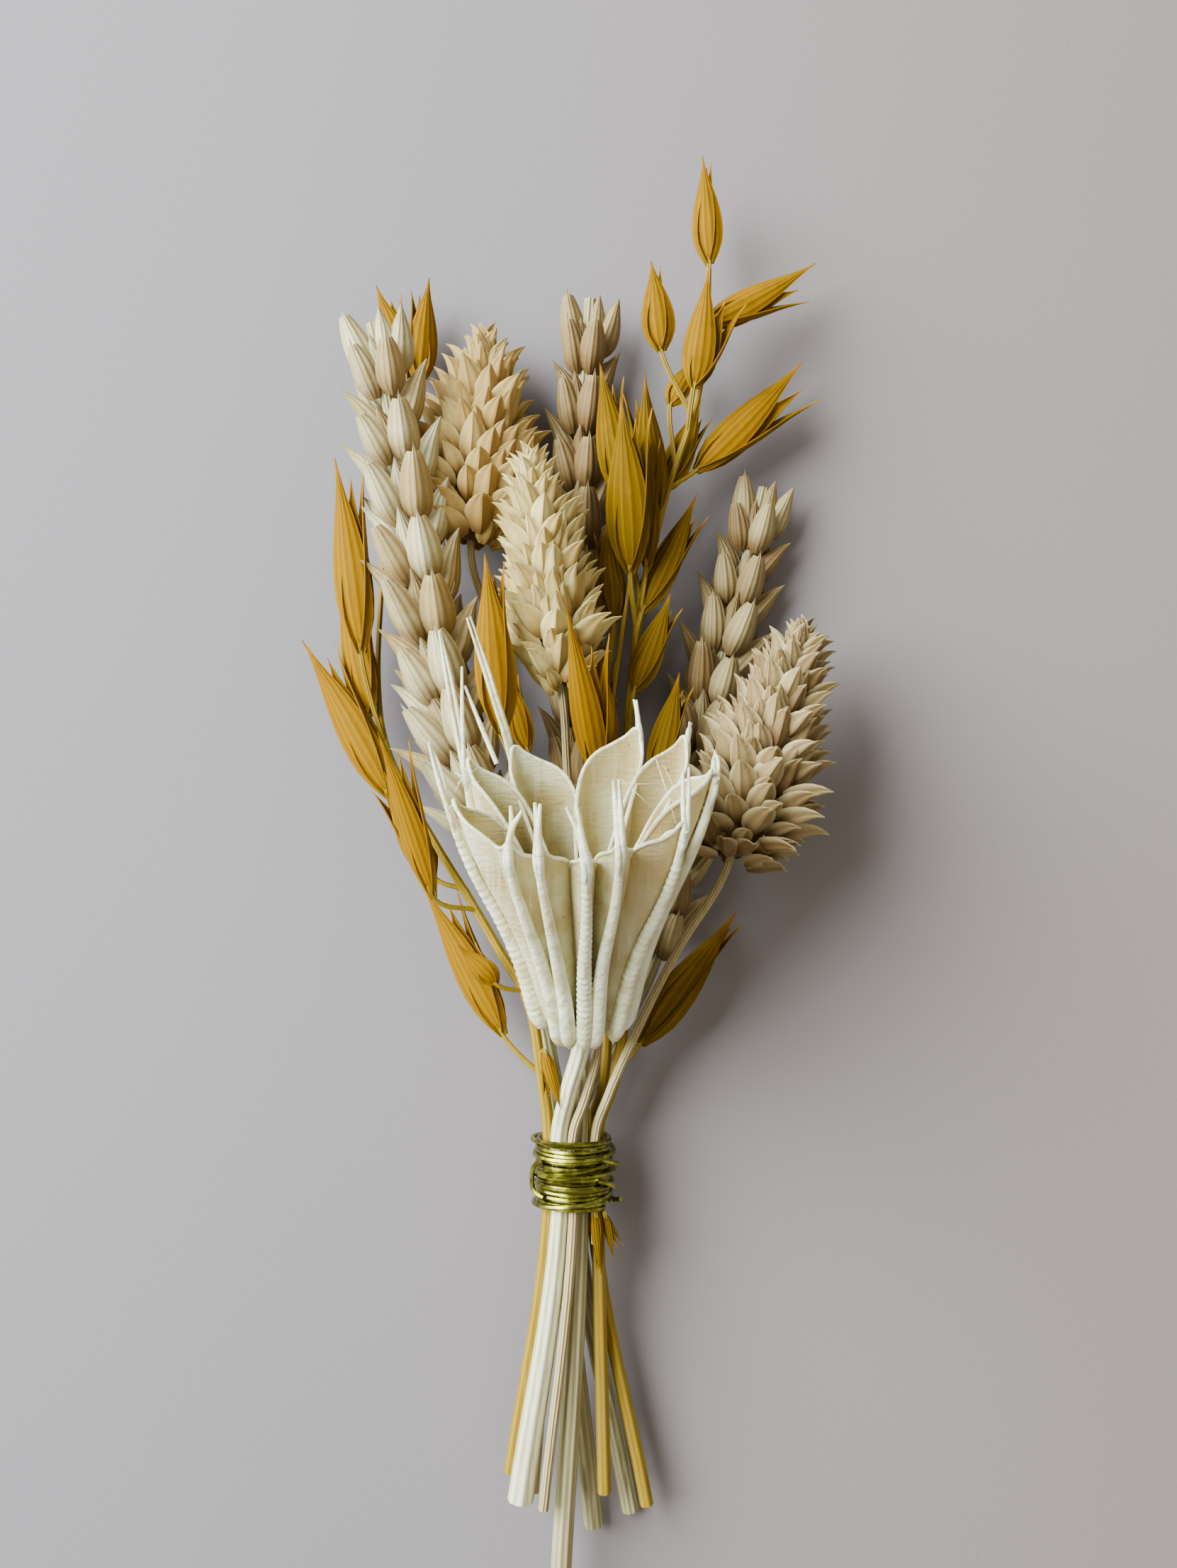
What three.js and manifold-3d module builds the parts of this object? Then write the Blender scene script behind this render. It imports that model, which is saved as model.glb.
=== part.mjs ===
// A small dried bouquet lying on a table: three ears of wheat, three heads of canary grass,
// three stems of golden oats and one opened love-in-a-mist pod, held together with a wire tie.
// Millimetres, Z up, the table at Z = 0, the heads towards +Y and the cut stem ends towards -Y.
import * as THREE from 'three';
import { mergeVertices } from 'three/addons/utils/BufferGeometryUtils.js';
import Module from 'manifold-3d';

const wasm = await Module();
wasm.setup();

// The tie's middle, seen from the middle of the whole bouquet's outline.
const TIE_PLACE = { x: 1.91, y: -41.15 };

// Real sizes that drive the pieces.
const WHEAT = {
  spikelets: 13, reach: 0.87, huskLength: 11.2, huskWidth: 5.6, huskDepth: 4.2, lean: 0.44, core: 1.7,
};
const CANARY = {
  stem: 0.7, scales: 40, scaleLength: 9, scaleWidth: 6.4, scaleDepth: 2.8, lean: 0.22, thickness: 0.82,
};
const OAT = { branch: 0.42, glumeWidth: 0.95, glumeDepth: 0.72, opening: 0.09, keelTurn: 0.3 };
const POD = {
  length: 36.5, halfWidth: 17.6, halfHeight: 13.6, foot: 0.18, wall: 1.9, rise: 30, floor: 7,
  beak: 0.42, stem: 1.2, cutStem: 1.85,
};
const TIE = { turns: 10, pitch: 1.06, wire: 0.7, halfWidth: 5.4, halfHeight: 5.3, middle: 0.1, height: 8 };
const STEM_SIDES = 6;

// Colours, as they look in daylight.
const COLOURS = {
  wheat: 0xe1d3b4, canaryPale: 0xdccba5, canaryTan: 0xc6a67c, oats: 0xd39c1e, pod: 0xe8e2c8, wire: 0x968c34,
};

const UP = new THREE.Vector3(0, 0, 1);
const at = (x, y, z) => new THREE.Vector3(x, y, z);

// A repeatable random number from 0 to 1.
function seededRandom(seed) {
  let state = seed;
  return () => {
    state = (state * 16807) % 2147483647;
    return state / 2147483647;
  };
}

// A closed three.js geometry as a solid that can be joined and cut.
function solidOf(geometry) {
  geometry.deleteAttribute('normal');
  geometry.deleteAttribute('uv');
  const merged = mergeVertices(geometry, 1e-4);
  return new wasm.Manifold(new wasm.Mesh({
    numProp: 3,
    vertProperties: new Float32Array(merged.attributes.position.array),
    triVerts: new Uint32Array(merged.index.array),
  }));
}

function joined(solids) {
  return solids.reduce((whole, solid) => whole.add(solid));
}

// The outer skin alone: small hollows that joining sealed in are filled, and crumbs dropped.
function outerSkin(solid) {
  const largest = (best, shell) => (shell.volume() > best.volume() ? shell : best);
  return solid.decompose().reduce(largest);
}

// The husks that carry the weight are pressed flat where they meet the table.
function pressedFlat(solid) {
  const table = new THREE.BoxGeometry(400, 400, 20);
  table.translate(0, 0, -10);
  return solid.subtract(solidOf(table));
}

function meshOf(name, solid, colour, roughness, metalness = 0) {
  const data = outerSkin(pressedFlat(solid)).getMesh();
  const geometry = new THREE.BufferGeometry();
  geometry.setAttribute('position', new THREE.BufferAttribute(data.vertProperties, 3));
  geometry.setIndex(new THREE.BufferAttribute(data.triVerts, 1));
  geometry.computeVertexNormals();
  const material = new THREE.MeshStandardMaterial({ color: colour, roughness, metalness });
  const mesh = new THREE.Mesh(geometry, material);
  mesh.name = name;
  return mesh;
}

// A round section with flat sides.
function roundSection(radius, sides) {
  const points = [];
  for (let i = 0; i < sides; i += 1) {
    const angle = (i / sides) * 2 * Math.PI;
    points.push(new THREE.Vector2(radius * Math.cos(angle), radius * Math.sin(angle)));
  }
  return new THREE.Shape(points);
}

// A stem, branch or wire of one thickness along a smooth line through the points.
function rod(points, radius, sides = STEM_SIDES, steps = 2 * (points.length - 1)) {
  const extrudePath = new THREE.CatmullRomCurve3(points, false, 'centripetal');
  return solidOf(new THREE.ExtrudeGeometry(roundSection(radius, sides), { steps, extrudePath }));
}

// One boat-shaped husk, glume or scale with a keel. It grows from base along dir, and the keel
// looks towards out.
const HUSK_PROFILE = [[0, 0], [0.52, 0.55], [0, 1]];

function husk(base, dir, out, length, width, depth) {
  const profile = HUSK_PROFILE.map(([radius, height]) => new THREE.Vector2(radius, height));
  const geometry = new THREE.LatheGeometry(profile, 3);
  const along = dir.clone().normalize();
  const side = along.clone().cross(out).normalize();
  const keel = side.clone().cross(along);
  const frame = new THREE.Matrix4().makeBasis(
    side.multiplyScalar(width), along.multiplyScalar(length), keel.multiplyScalar(depth),
  );
  geometry.applyMatrix4(frame.setPosition(base));
  return solidOf(geometry);
}

// A direction made of weighted vectors.
function blend(...pairs) {
  const sum = new THREE.Vector3();
  pairs.forEach(([vector, weight]) => sum.addScaledVector(vector, weight));
  return sum.normalize();
}

// The three axes of a curve at a share of its length: along it, up across it, and sideways.
function axesOn(curve, share) {
  const along = curve.getTangentAt(share);
  const side = along.clone().cross(UP).normalize();
  const face = side.clone().cross(along).normalize();
  return { place: curve.getPointAt(share), along, side, face };
}

// An ear of wheat: spikelets left and right in turn along the middle, each with a husk to its
// side, one on the upper face and one on the lower.
function wheatEar(line, seed) {
  const random = seededRandom(seed);
  const curve = new THREE.CatmullRomCurve3(line, false, 'centripetal');
  const husks = [];
  for (let i = 0; i < WHEAT.spikelets; i += 1) {
    const share = (0.94 * (i + 0.25)) / WHEAT.spikelets;
    const { place, along, side, face } = axesOn(curve, Math.min(share, WHEAT.reach));
    const hand = side.clone().multiplyScalar(i % 2 ? 1 : -1);
    const size = 0.8 + 0.2 * Math.sin(Math.PI * Math.min(1, share + 0.18)) + 0.06 * random();
    const length = WHEAT.huskLength * size;
    const width = WHEAT.huskWidth * size;
    const depth = WHEAT.huskDepth * size;
    const lean = WHEAT.lean + 0.1 * random();
    husks.push(husk(place.clone().addScaledVector(hand, 0.9), blend([along, 1], [hand, lean]),
      blend([hand, 1], [face, 0.15]), length, width, depth));
    [1, -1].forEach((turn) => {
      const lift = turn * (0.2 + 0.08 * random());
      const root = place.clone().addScaledVector(face, turn * 1.2).addScaledVector(hand, 0.7);
      husks.push(husk(root, blend([along, 1], [hand, 0.2], [face, lift]),
        blend([face, turn], [hand, 0.35]), length * 0.97, width, depth));
    });
  }
  const { place, along, face } = axesOn(curve, WHEAT.reach - 0.01);
  husks.push(husk(place, along, face, WHEAT.huskLength * 0.95, WHEAT.huskWidth, WHEAT.huskDepth));
  const middle = line.slice(0, -1).concat([curve.getPointAt(WHEAT.reach + 0.01)]);
  return joined([rod(middle, WHEAT.core, 6, 8), ...husks]);
}

// A head of canary grass: an egg of flat keeled scales that overlap like tiles.
function canaryHead(base, top, width, seed) {
  const random = seededRandom(seed);
  const along = top.clone().sub(base);
  const length = along.length();
  along.normalize();
  const side = along.clone().cross(UP).normalize();
  const face = side.clone().cross(along);
  const coreRadius = width / 2 - 1.5;
  const core = new THREE.SphereGeometry(1, 8, 6);
  const middle = base.clone().addScaledVector(along, length * 0.47);
  core.applyMatrix4(new THREE.Matrix4().makeBasis(
    side.clone().multiplyScalar(coreRadius), along.clone().multiplyScalar(length * 0.43),
    face.clone().multiplyScalar(coreRadius * CANARY.thickness),
  ).setPosition(middle));
  const pieces = [solidOf(core)];
  for (let i = 0; i < CANARY.scales; i += 1) {
    const share = (i + 0.5) / CANARY.scales;
    const height = 1.9 * share - 1;
    const angle = i * Math.PI * (3 - Math.sqrt(5));
    const ring = Math.sqrt(Math.max(0.01, 1 - height * height));
    const outward = blend([side, Math.cos(angle)], [face, CANARY.thickness * Math.sin(angle)]);
    const flat = Math.hypot(Math.cos(angle), CANARY.thickness * Math.sin(angle));
    const root = middle.clone().addScaledVector(along, 0.41 * length * height)
      .addScaledVector(outward, (coreRadius * ring * flat) - 1.3);
    const slope = THREE.MathUtils.clamp((-0.4 * height) / ring, -0.8, 0.8);
    const size = 0.9 + 0.2 * random();
    pieces.push(husk(root, blend([along, 1], [outward, CANARY.lean + slope]), outward,
      CANARY.scaleLength * size, CANARY.scaleWidth * size, CANARY.scaleDepth));
  }
  return joined(pieces);
}

// One oat spikelet: two long glumes, keeled outwards, that open at the tip like a beak.
function oatSpikelet(base, tip, width) {
  const along = tip.clone().sub(base);
  const length = along.length();
  along.normalize();
  const side = along.clone().cross(UP).normalize();
  const face = side.clone().cross(along);
  const glumes = [1, -1].map((hand) => husk(
    base.clone().addScaledVector(side, hand * width * 0.03),
    blend([along, 1], [side, hand * OAT.opening]),
    blend([side, hand], [face, OAT.keelTurn]), length, width * OAT.glumeWidth, width * OAT.glumeDepth,
  ));
  return joined(glumes);
}

// An oat panicle: a main stalk and a thin branch to each spikelet.
// Each spikelet is [its base, its tip, its width, points of its branch from the stalk].
function oatPanicle(stalks, spikelets) {
  const pieces = stalks.map(({ line, radius }) => rod(line, radius, 6));
  spikelets.forEach(([base, tip, width, branch]) => {
    pieces.push(oatSpikelet(base, tip, width));
    const inside = base.clone().lerp(tip, 0.25);
    pieces.push(rod([...branch, base, inside], OAT.branch, 4, 2 * branch.length + 2));
  });
  return joined(pieces);
}

// The opened pod: a cup of keeled follicles on a ribbed stem, lying on the stems with its mouth
// towards the heads and a little upwards. Angles go round the mouth, 90 facing straight up.
const POD_BASE = at(1.5, 19.7, 13.6);
const FOLLICLES = [
  { angle: 10, beak: at(18.5, 59.5, 32) },
  { angle: 42, beak: at(14.3, 57.4, 40) },
  { angle: 74, beak: at(5.6, 56, 46) },
  { angle: 88, beak: at(0.3, 52.8, 46) },
  { angle: 108, beak: at(-3.8, 53.2, 45.6) },
  { angle: 122, beak: at(-6.4, 52.8, 44) },
  { angle: 178, beak: at(-18.1, 60.8, 33) },
  { angle: 208, beak: at(-17.4, 75.7, 26) },
  { angle: 237, beak: at(-13.3, 77.2, 29) },
  { angle: 296, beak: at(8.6, 66.8, 21.5) },
  { angle: 322, beak: at(15.9, 63.6, 24) },
];

function podFrame() {
  const rise = THREE.MathUtils.degToRad(POD.rise);
  return {
    side: at(1, 0, 0),
    along: at(0, Math.cos(rise), Math.sin(rise)),
    face: at(0, -Math.sin(rise), Math.cos(rise)),
  };
}

// The angle of a station: four stations to a follicle, the first on its keel.
function podAngle(station) {
  const count = FOLLICLES.length;
  const whole = Math.floor(station / 4) % count;
  const next = (whole + 1) % count;
  const turn = next === 0 ? 360 : 0;
  const span = FOLLICLES[next].angle + turn - FOLLICLES[whole].angle;
  return THREE.MathUtils.degToRad(FOLLICLES[whole].angle + (span * (station % 4)) / 4);
}

// A point of the pod's wall: a bell that swells from its foot, pinched in between the keels.
function podPoint(station, height, inset) {
  const { side, along, face } = podFrame();
  const rise = Math.min(1, height / POD.length);
  const opened = Math.sin(rise * Math.PI * 0.5);
  const swell = POD.foot + (1 - POD.foot) * 0.5 * (opened + opened ** 2);
  const pinch = [0, 0.52, 1, 0.52][station % 4] * (0.16 + 0.3 * rise);
  const bump = station % 4 ? 0 : 0.25 * Math.cos(height * 1.3);
  const radius = Math.max(0.3, POD.halfWidth * swell * (1 - pinch) + bump - inset);
  const angle = podAngle(station);
  return POD_BASE.clone().addScaledVector(along, height)
    .addScaledVector(side, radius * Math.cos(angle))
    .addScaledVector(face, (radius * Math.sin(angle) * POD.halfHeight) / POD.halfWidth);
}

// How far each station of the rim stands up: round lobes between the keels, notched where
// two follicles meet.
function podRim(station) {
  return POD.length + [0, 1.6, -4.5, 1.6][station % 4];
}

// A closed skin round the pod's axis through the given heights.
function podSkin(heights, inset, topOf) {
  const stations = 4 * FOLLICLES.length;
  const profile = [new THREE.Vector2(0, heights[0])];
  heights.forEach((height) => profile.push(new THREE.Vector2(1, height)));
  profile.push(new THREE.Vector2(0, heights.at(-1)));
  const geometry = new THREE.LatheGeometry(profile, stations);
  const places = geometry.attributes.position;
  for (let i = 0; i < places.count; i += 1) {
    const height = places.getY(i);
    const isAxis = Math.hypot(places.getX(i), places.getZ(i)) < 0.5;
    const turned = Math.atan2(places.getX(i), places.getZ(i)) / (2 * Math.PI);
    const station = (stations - Math.round(turned * stations)) % stations;
    const level = !isAxis && height === heights.at(-1) ? topOf(station) : height;
    const axisPoint = POD_BASE.clone().addScaledVector(podFrame().along, level);
    const point = isAxis ? axisPoint : podPoint(station, level, inset);
    places.setXYZ(i, point.x, point.y, point.z);
  }
  return solidOf(geometry);
}

function podCup() {
  const levels = 5;
  const outside = [];
  for (let i = 0; i <= levels; i += 1) outside.push((POD.length * i) / levels);
  const shell = podSkin(outside, 0, podRim);
  const open = POD.length + 9;
  const hollow = podSkin([POD.floor, 17, 29, open], POD.wall, () => open);
  return shell.subtract(hollow);
}

function podBeak({ beak }, index) {
  const root = podPoint(4 * index, POD.length - 4, 0.9);
  const keel = podPoint(4 * index, POD.length, 0.7);
  const bow = keel.clone().lerp(beak, 0.5).addScaledVector(podFrame().along, 1.2);
  return rod([root, keel, bow, beak], POD.beak, 4, 4);
}

function seedPod(stem) {
  return joined([podCup(), ...FOLLICLES.map(podBeak), ...stem]);
}

// The pod's stem below the tie: eight ribs, thicker towards its cut end.
function ribbedStem(from, to, thin, thick) {
  const length = from.distanceTo(to);
  const geometry = new THREE.CylinderGeometry(thick, thin, length, 16, 1);
  const places = geometry.attributes.position;
  for (let i = 0; i < places.count; i += 1) {
    const rib = Math.round(Math.atan2(places.getX(i), places.getZ(i)) / (Math.PI / 8)) % 2;
    const share = rib ? 0.86 : 1;
    places.setX(i, places.getX(i) * share);
    places.setZ(i, places.getZ(i) * share);
  }
  const turn = new THREE.Quaternion().setFromUnitVectors(at(0, 1, 0), to.clone().sub(from).normalize());
  geometry.applyQuaternion(turn);
  const middle = from.clone().lerp(to, 0.5);
  geometry.translate(middle.x, middle.y, middle.z);
  return solidOf(geometry);
}

// The wire: turn beside turn round the ten stems, with its two ends bent out.
function wireTie() {
  const points = [];
  const perTurn = 11;
  const reach = (TIE.turns * TIE.pitch) / 2;
  for (let i = 0; i <= TIE.turns * perTurn; i += 1) {
    const angle = (i / perTurn) * 2 * Math.PI;
    const along = -reach + (TIE.pitch * i) / perTurn;
    const across = TIE.middle + TIE.halfWidth * Math.cos(angle);
    points.push(at(across, along, TIE.height + TIE.halfHeight * Math.sin(angle)));
  }
  const start = points[0].clone();
  const end = points.at(-1).clone();
  points.unshift(start.clone().add(at(1.4, -0.2, -1.5)));
  points.push(end.clone().add(at(1.2, 0.5, 1.6)));
  return rod(points, TIE.wire / 2, 5, points.length - 1);
}

// Where each stem runs straight through the tie, as [x, z], and how far to both sides.
const TIE_RUN = 6;
const IN_TIE = {
  oatLeft: [-3.44, 8.94],
  pod: [-1.78, 10.72],
  canaryCentre: [0.17, 11.77],
  wheatBack: [0.97, 9.42],
  oatRight: [3.68, 8.05],
  oatMiddle: [2.81, 5.81],
  wheatLeft: [-1.39, 7.3],
  wheatRight: [0.32, 4.85],
  canaryBack: [-2.49, 5.17],
  canaryRight: [3.38, 10.04],
};

// A stem's line: from its cut end, straight through the tie, and on up.
function stemLine(name, cutEnd, above) {
  const [x, z] = IN_TIE[name];
  return [cutEnd, at(x, -TIE_RUN, z), at(x, TIE_RUN, z), ...above];
}

function wheat(name, stem, ear, radius, seed) {
  const inEar = ear[0].clone().lerp(ear[1], 0.5);
  const straw = rod([...stem, inEar], radius);
  return meshOf(name, joined([straw, wheatEar(ear, seed)]), COLOURS.wheat, 0.75);
}

const wheatLeft = wheat('wheat_left', stemLine('wheatLeft', at(3.1, -54, 1.8), [
  at(-2.6, 12, 6.9), at(-4.6, 22, 6.4), at(-6.6, 32, 7.8),
]), [
  at(-10.4, 44, 10.8), at(-13.4, 53, 11.6), at(-16.4, 62.1, 12.2), at(-20.4, 80, 13.4),
  at(-23.8, 99.6, 15.6), at(-27.6, 119, 16.8),
], 1.4, 11);

const wheatBack = wheat('wheat_back', stemLine('wheatBack', at(-1.9, -62.6, 7.5), [
  at(1.2, 12, 8.8), at(1.0, 28, 6.2),
]), [
  at(0.8, 47, 5.4), at(0.8, 66, 5.4), at(0.9, 91, 5.4), at(1.4, 110, 5.4), at(2.6, 125.8, 5.5),
], 1.5, 23);

const wheatRight = wheat('wheat_right', stemLine('wheatRight', at(8.5, -52, 1.15), [
  at(2.4, 11, 4.6), at(7.2, 20, 5.2),
]), [
  at(12.0, 30, 5.2), at(15.6, 48, 4.6), at(20.2, 68, 4.5), at(24.4, 84, 4.5), at(27.9, 98.6, 4.6),
], 1.3, 37);

function canary(name, stem, base, top, width, colour, seed) {
  const inside = base.clone().lerp(top, 0.15);
  const line = rod([...stem, base, inside], CANARY.stem, 6);
  return meshOf(name, joined([line, canaryHead(base, top, width, seed)]), colour, 0.8);
}

const canaryBack = canary('canary_back', stemLine('canaryBack', at(-5.6, -47, 6.6), [
  at(-3.9, 12, 4.2), at(-5.8, 22, 3.2), at(-8, 45, 3.2), at(-9.8, 64, 4.4), at(-12.4, 80, 6.6),
]), at(-14.6, 88, 7.0), at(-12.9, 123, 7.1), 16.5, COLOURS.canaryTan, 5);

const canaryCentre = canary('canary_centre', stemLine('canaryCentre', at(-4.1, -47.5, 11), [
  at(1.8, 11, 11.9), at(3.7, 19, 10.8), at(2.8, 30, 10.2), at(0.8, 42, 10.3), at(-0.6, 56, 11.6),
]), at(-1.2, 66.5, 15.5), at(-4.5, 103, 20.5), 14.6, COLOURS.canaryPale, 7);

const canaryRight = canary('canary_right', stemLine('canaryRight', at(3.4, -10, 10.04), [
  at(5.0, 11, 11.2), at(8.8, 20, 12.6), at(14.6, 32, 14.6),
]), at(21.1, 43, 16.6), at(33.2, 79.5, 14), 16.5, COLOURS.canaryPale, 9);

const oatLeft = meshOf('oats_left', oatPanicle([
  {
    line: stemLine('oatLeft', at(-9, -44.2, 6.2), [
      at(-4.4, 14, 9.9), at(-6.4, 24.7, 10.4), at(-10.4, 31.8, 10.4), at(-15.4, 40.4, 10.2),
    ]),
    radius: 0.93,
  },
  {
    line: [
      at(-14.6, 39, 10.2), at(-19.8, 47.4, 10), at(-24.1, 55, 9), at(-26.8, 61.1, 8),
      at(-28.2, 68, 5.4), at(-28.2, 82, 3.4), at(-26.4, 102.8, 3.4), at(-24.4, 112, 4.4),
    ],
    radius: 0.55,
  },
], [
  [at(-29.8, 73.8, 12), at(-32.4, 101.1, 14), 5.8, [at(-27, 61.5, 8), at(-28.6, 67, 9.6)]],
  [at(-29.2, 65, 8), at(-33.2, 86.7, 7), 5, [at(-26.8, 61.1, 8)]],
  [at(-26, 53.5, 10), at(-38.1, 76.4, 8), 5.6, [at(-19.8, 47.4, 10)]],
  [at(-20.1, 38.4, 14), at(-26, 62.5, 19.4), 5, [at(-13.6, 37.5, 10.4)]],
  [at(-19.8, 42.1, 9.6), at(-27.2, 57, 11), 5, [at(-15.4, 40.4, 10.2)]],
  [at(-9.9, 19.4, 9), at(-21, 41.3, 7), 5.2, [at(-4.6, 14, 9.9)]],
  [at(-11.5, 30.5, 13), at(-17.2, 40.6, 15.4), 3.6, [at(-7.6, 27, 10.4)]],
  [at(-24.2, 114, 4.6), at(-28, 128.1, 5), 5, [at(-24.8, 111, 4.2)]],
  [at(-22.4, 113.6, 5), at(-21.3, 128.8, 6), 4.6, [at(-24.8, 111, 4.2)]],
]), COLOURS.oats, 0.55);

const oatRight = meshOf('oats_right', oatPanicle([
  {
    line: stemLine('oatRight', at(4.6, -46.6, 7.6), [
      at(6.0, 13, 9.2), at(7.5, 24, 9.9), at(7.5, 44, 10.2), at(7.9, 62.1, 9.6), at(8.6, 72.2, 9.8),
    ]),
    radius: 0.93,
  },
  {
    line: [
      at(8.5, 71, 9.8), at(9.8, 81.3, 10), at(11.8, 90.3, 10), at(13.6, 97.4, 10), at(16.4, 105.5, 10),
      at(17.9, 110.5, 10), at(19.2, 119.6, 10), at(19.5, 128.8, 9.6),
    ],
    radius: 0.55,
  },
], [
  [at(19.5, 129.6, 9.5), at(18.9, 145, 9), 4.4, [at(19.4, 127.4, 9.6)]],
  [at(12.6, 116.7, 11), at(11.4, 129.2, 12), 4.6, [at(16.9, 108, 10)]],
  [at(18.8, 120.8, 10), at(35.2, 129, 9), 4.4, [at(19.2, 119.6, 10)]],
  [at(17.1, 111.2, 12), at(20.3, 127.1, 14), 4.6, [at(16.4, 105.5, 10)]],
  [at(14, 109.8, 8), at(18, 117.1, 7), 3.6, [at(14.6, 101, 10)]],
  [at(17.6, 100.3, 8.5), at(34, 115.6, 7), 5, [at(13.6, 97.4, 10)]],
  [at(13.2, 97.3, 9), at(19, 110.5, 7), 4.4, [at(11.8, 90.3, 10)]],
  [at(8.1, 84.8, 14), at(7.5, 108.5, 18), 6.4, [at(9.2, 77, 9.9)]],
  [at(11.8, 93.3, 12.4), at(9.5, 112.7, 14), 4.6, [at(10.2, 83.5, 10)]],
  [at(6.5, 96.4, 10.8), at(4.5, 114.8, 12), 4.4, [at(9.8, 81.3, 10)]],
  [at(9.8, 79.6, 11), at(18.3, 96.6, 8), 4.6, [at(8.6, 72.2, 9.8)]],
  [at(8.7, 68.4, 11), at(14.3, 82.1, 12), 4.4, [at(8.1, 63, 9.6)]],
  [at(11.5, 55.6, 12.4), at(15.5, 70.9, 13.4), 4.2, [at(7.7, 50, 10.2)]],
  [at(9.6, 18.3, 9.6), at(23.8, 37, 8.8), 5.2, [at(6.2, 14, 9.3)]],
]), COLOURS.oats, 0.55);

const oatMiddle = meshOf('oats_middle', oatPanicle([
  {
    line: stemLine('oatMiddle', at(10.8, -49.5, 5), [
      at(4.4, 12, 7.4), at(5.1, 22, 8.8), at(5.2, 36, 10.2), at(4.6, 48, 11.4),
    ]),
    radius: 0.8,
  },
], [
  [at(-9.8, 62.3, 18), at(-10.9, 85.9, 26.4), 6, [at(4.6, 42, 11.2), at(-2.4, 51, 13)]],
  [at(-6.3, 60, 11.5), at(-9.4, 72, 11), 3.6, [at(4.6, 42, 11.2), at(-2.4, 51, 13)]],
  [at(3.6, 56, 13.4), at(0.4, 79, 28), 4.4, [at(4.5, 46, 11.3)]],
  [at(4.8, 58, 11.8), at(4.3, 74, 14), 4, [at(4.4, 47, 11.4)]],
]), COLOURS.oats, 0.55);

const podStem = [
  rod(stemLine('pod', at(-2.1, -8, 10.65), [
    at(-0.5, 12, 12.2), POD_BASE, POD_BASE.clone().addScaledVector(podFrame().along, 2),
  ]), POD.stem, 8, 10),
  ribbedStem(at(-2.0, -7.2, 10.7), at(-7.4, -46.7, 9.8), POD.stem, POD.cutStem),
];

const bouquet = new THREE.Group();
bouquet.add(wheatLeft, wheatBack, wheatRight, canaryBack, canaryCentre, canaryRight);
bouquet.add(oatLeft, oatRight, oatMiddle);
bouquet.add(meshOf('seed_pod', seedPod(podStem), COLOURS.pod, 0.45));
bouquet.add(meshOf('wire_tie', wireTie(), COLOURS.wire, 0.35, 0.9));
bouquet.position.set(TIE_PLACE.x, TIE_PLACE.y, 0);

export default bouquet;
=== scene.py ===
import random
from math import copysign, cos, exp, pi, radians, sin, sqrt, tan, tau

import bmesh
import bpy
from mathutils import Matrix, Vector


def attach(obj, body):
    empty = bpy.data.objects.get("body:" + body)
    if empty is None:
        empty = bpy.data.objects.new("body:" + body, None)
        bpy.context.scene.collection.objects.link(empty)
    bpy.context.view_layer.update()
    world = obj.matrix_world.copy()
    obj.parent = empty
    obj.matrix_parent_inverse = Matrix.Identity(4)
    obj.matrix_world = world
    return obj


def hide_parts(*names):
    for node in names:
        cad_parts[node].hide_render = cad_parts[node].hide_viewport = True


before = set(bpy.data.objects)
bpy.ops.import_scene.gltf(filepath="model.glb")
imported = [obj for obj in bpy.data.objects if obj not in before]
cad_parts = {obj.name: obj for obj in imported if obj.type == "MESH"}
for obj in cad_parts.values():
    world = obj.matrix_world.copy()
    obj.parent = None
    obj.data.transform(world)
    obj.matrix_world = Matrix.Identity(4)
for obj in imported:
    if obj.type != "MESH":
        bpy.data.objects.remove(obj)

# A dried bouquet lies on a pale table and is seen from straight above. Places are millimetres
# from the middle of the tie, with Z up from the table, and become metres in the part's frame.

MM = 0.001
TIE_IN_FRAME = Vector((1.91, -41.15, 0.0))
UP = Vector((0.0, 0.0, 1.0))
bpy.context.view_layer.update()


def at(x, y, z):
    return (Vector((x, y, z)) + TIE_IN_FRAME) * MM


# ------------ camera, floor and light

CAMERA_HEIGHT = 230.0
CAMERA_OVER = (2.3, 55.4)
CAMERA_LENS = 35.48
SENSOR_WIDTH = 36.0
NEAREST_SEEN = 0.01

# A large cool window at the left, in metres and watts, and a warm room all round.
WINDOW_PLACE = (-490.0, 300.0, 400.0)
WINDOW_AIM = (0.0, 60.0, 10.0)
WINDOW_SIZE = 0.68
WINDOW_POWER = 26.2
WINDOW_COLOUR = (0.925, 0.955, 1.0)
ROOM_COLOUR = (1.0, 0.90, 0.77, 1.0)
ROOM_STRENGTH = 0.57
TABLE_SIZE = 3.0


def add_camera():
    bpy.ops.object.camera_add(location=at(*CAMERA_OVER, CAMERA_HEIGHT), rotation=(0.0, 0.0, 0.0))
    camera = bpy.context.object
    camera.data.lens = CAMERA_LENS
    camera.data.sensor_width = SENSOR_WIDTH
    camera.data.clip_start = NEAREST_SEEN
    bpy.context.scene.camera = camera


def add_window_light():
    place = at(*WINDOW_PLACE)
    bpy.ops.object.light_add(type="AREA", location=place)
    light = bpy.context.object
    light.name = "window_light"
    light.data.shape = "DISK"
    light.data.size = WINDOW_SIZE
    light.data.energy = WINDOW_POWER
    light.data.color = WINDOW_COLOUR
    light.rotation_mode = "QUATERNION"
    light.rotation_quaternion = (at(*WINDOW_AIM) - place).to_track_quat("-Z", "Y")


def add_room_light():
    world = bpy.data.worlds.new("room")
    bpy.context.scene.world = world
    world.use_nodes = True
    background = world.node_tree.nodes["Background"]
    background.inputs["Color"].default_value = ROOM_COLOUR
    background.inputs["Strength"].default_value = ROOM_STRENGTH


# ------------ finishes

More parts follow.
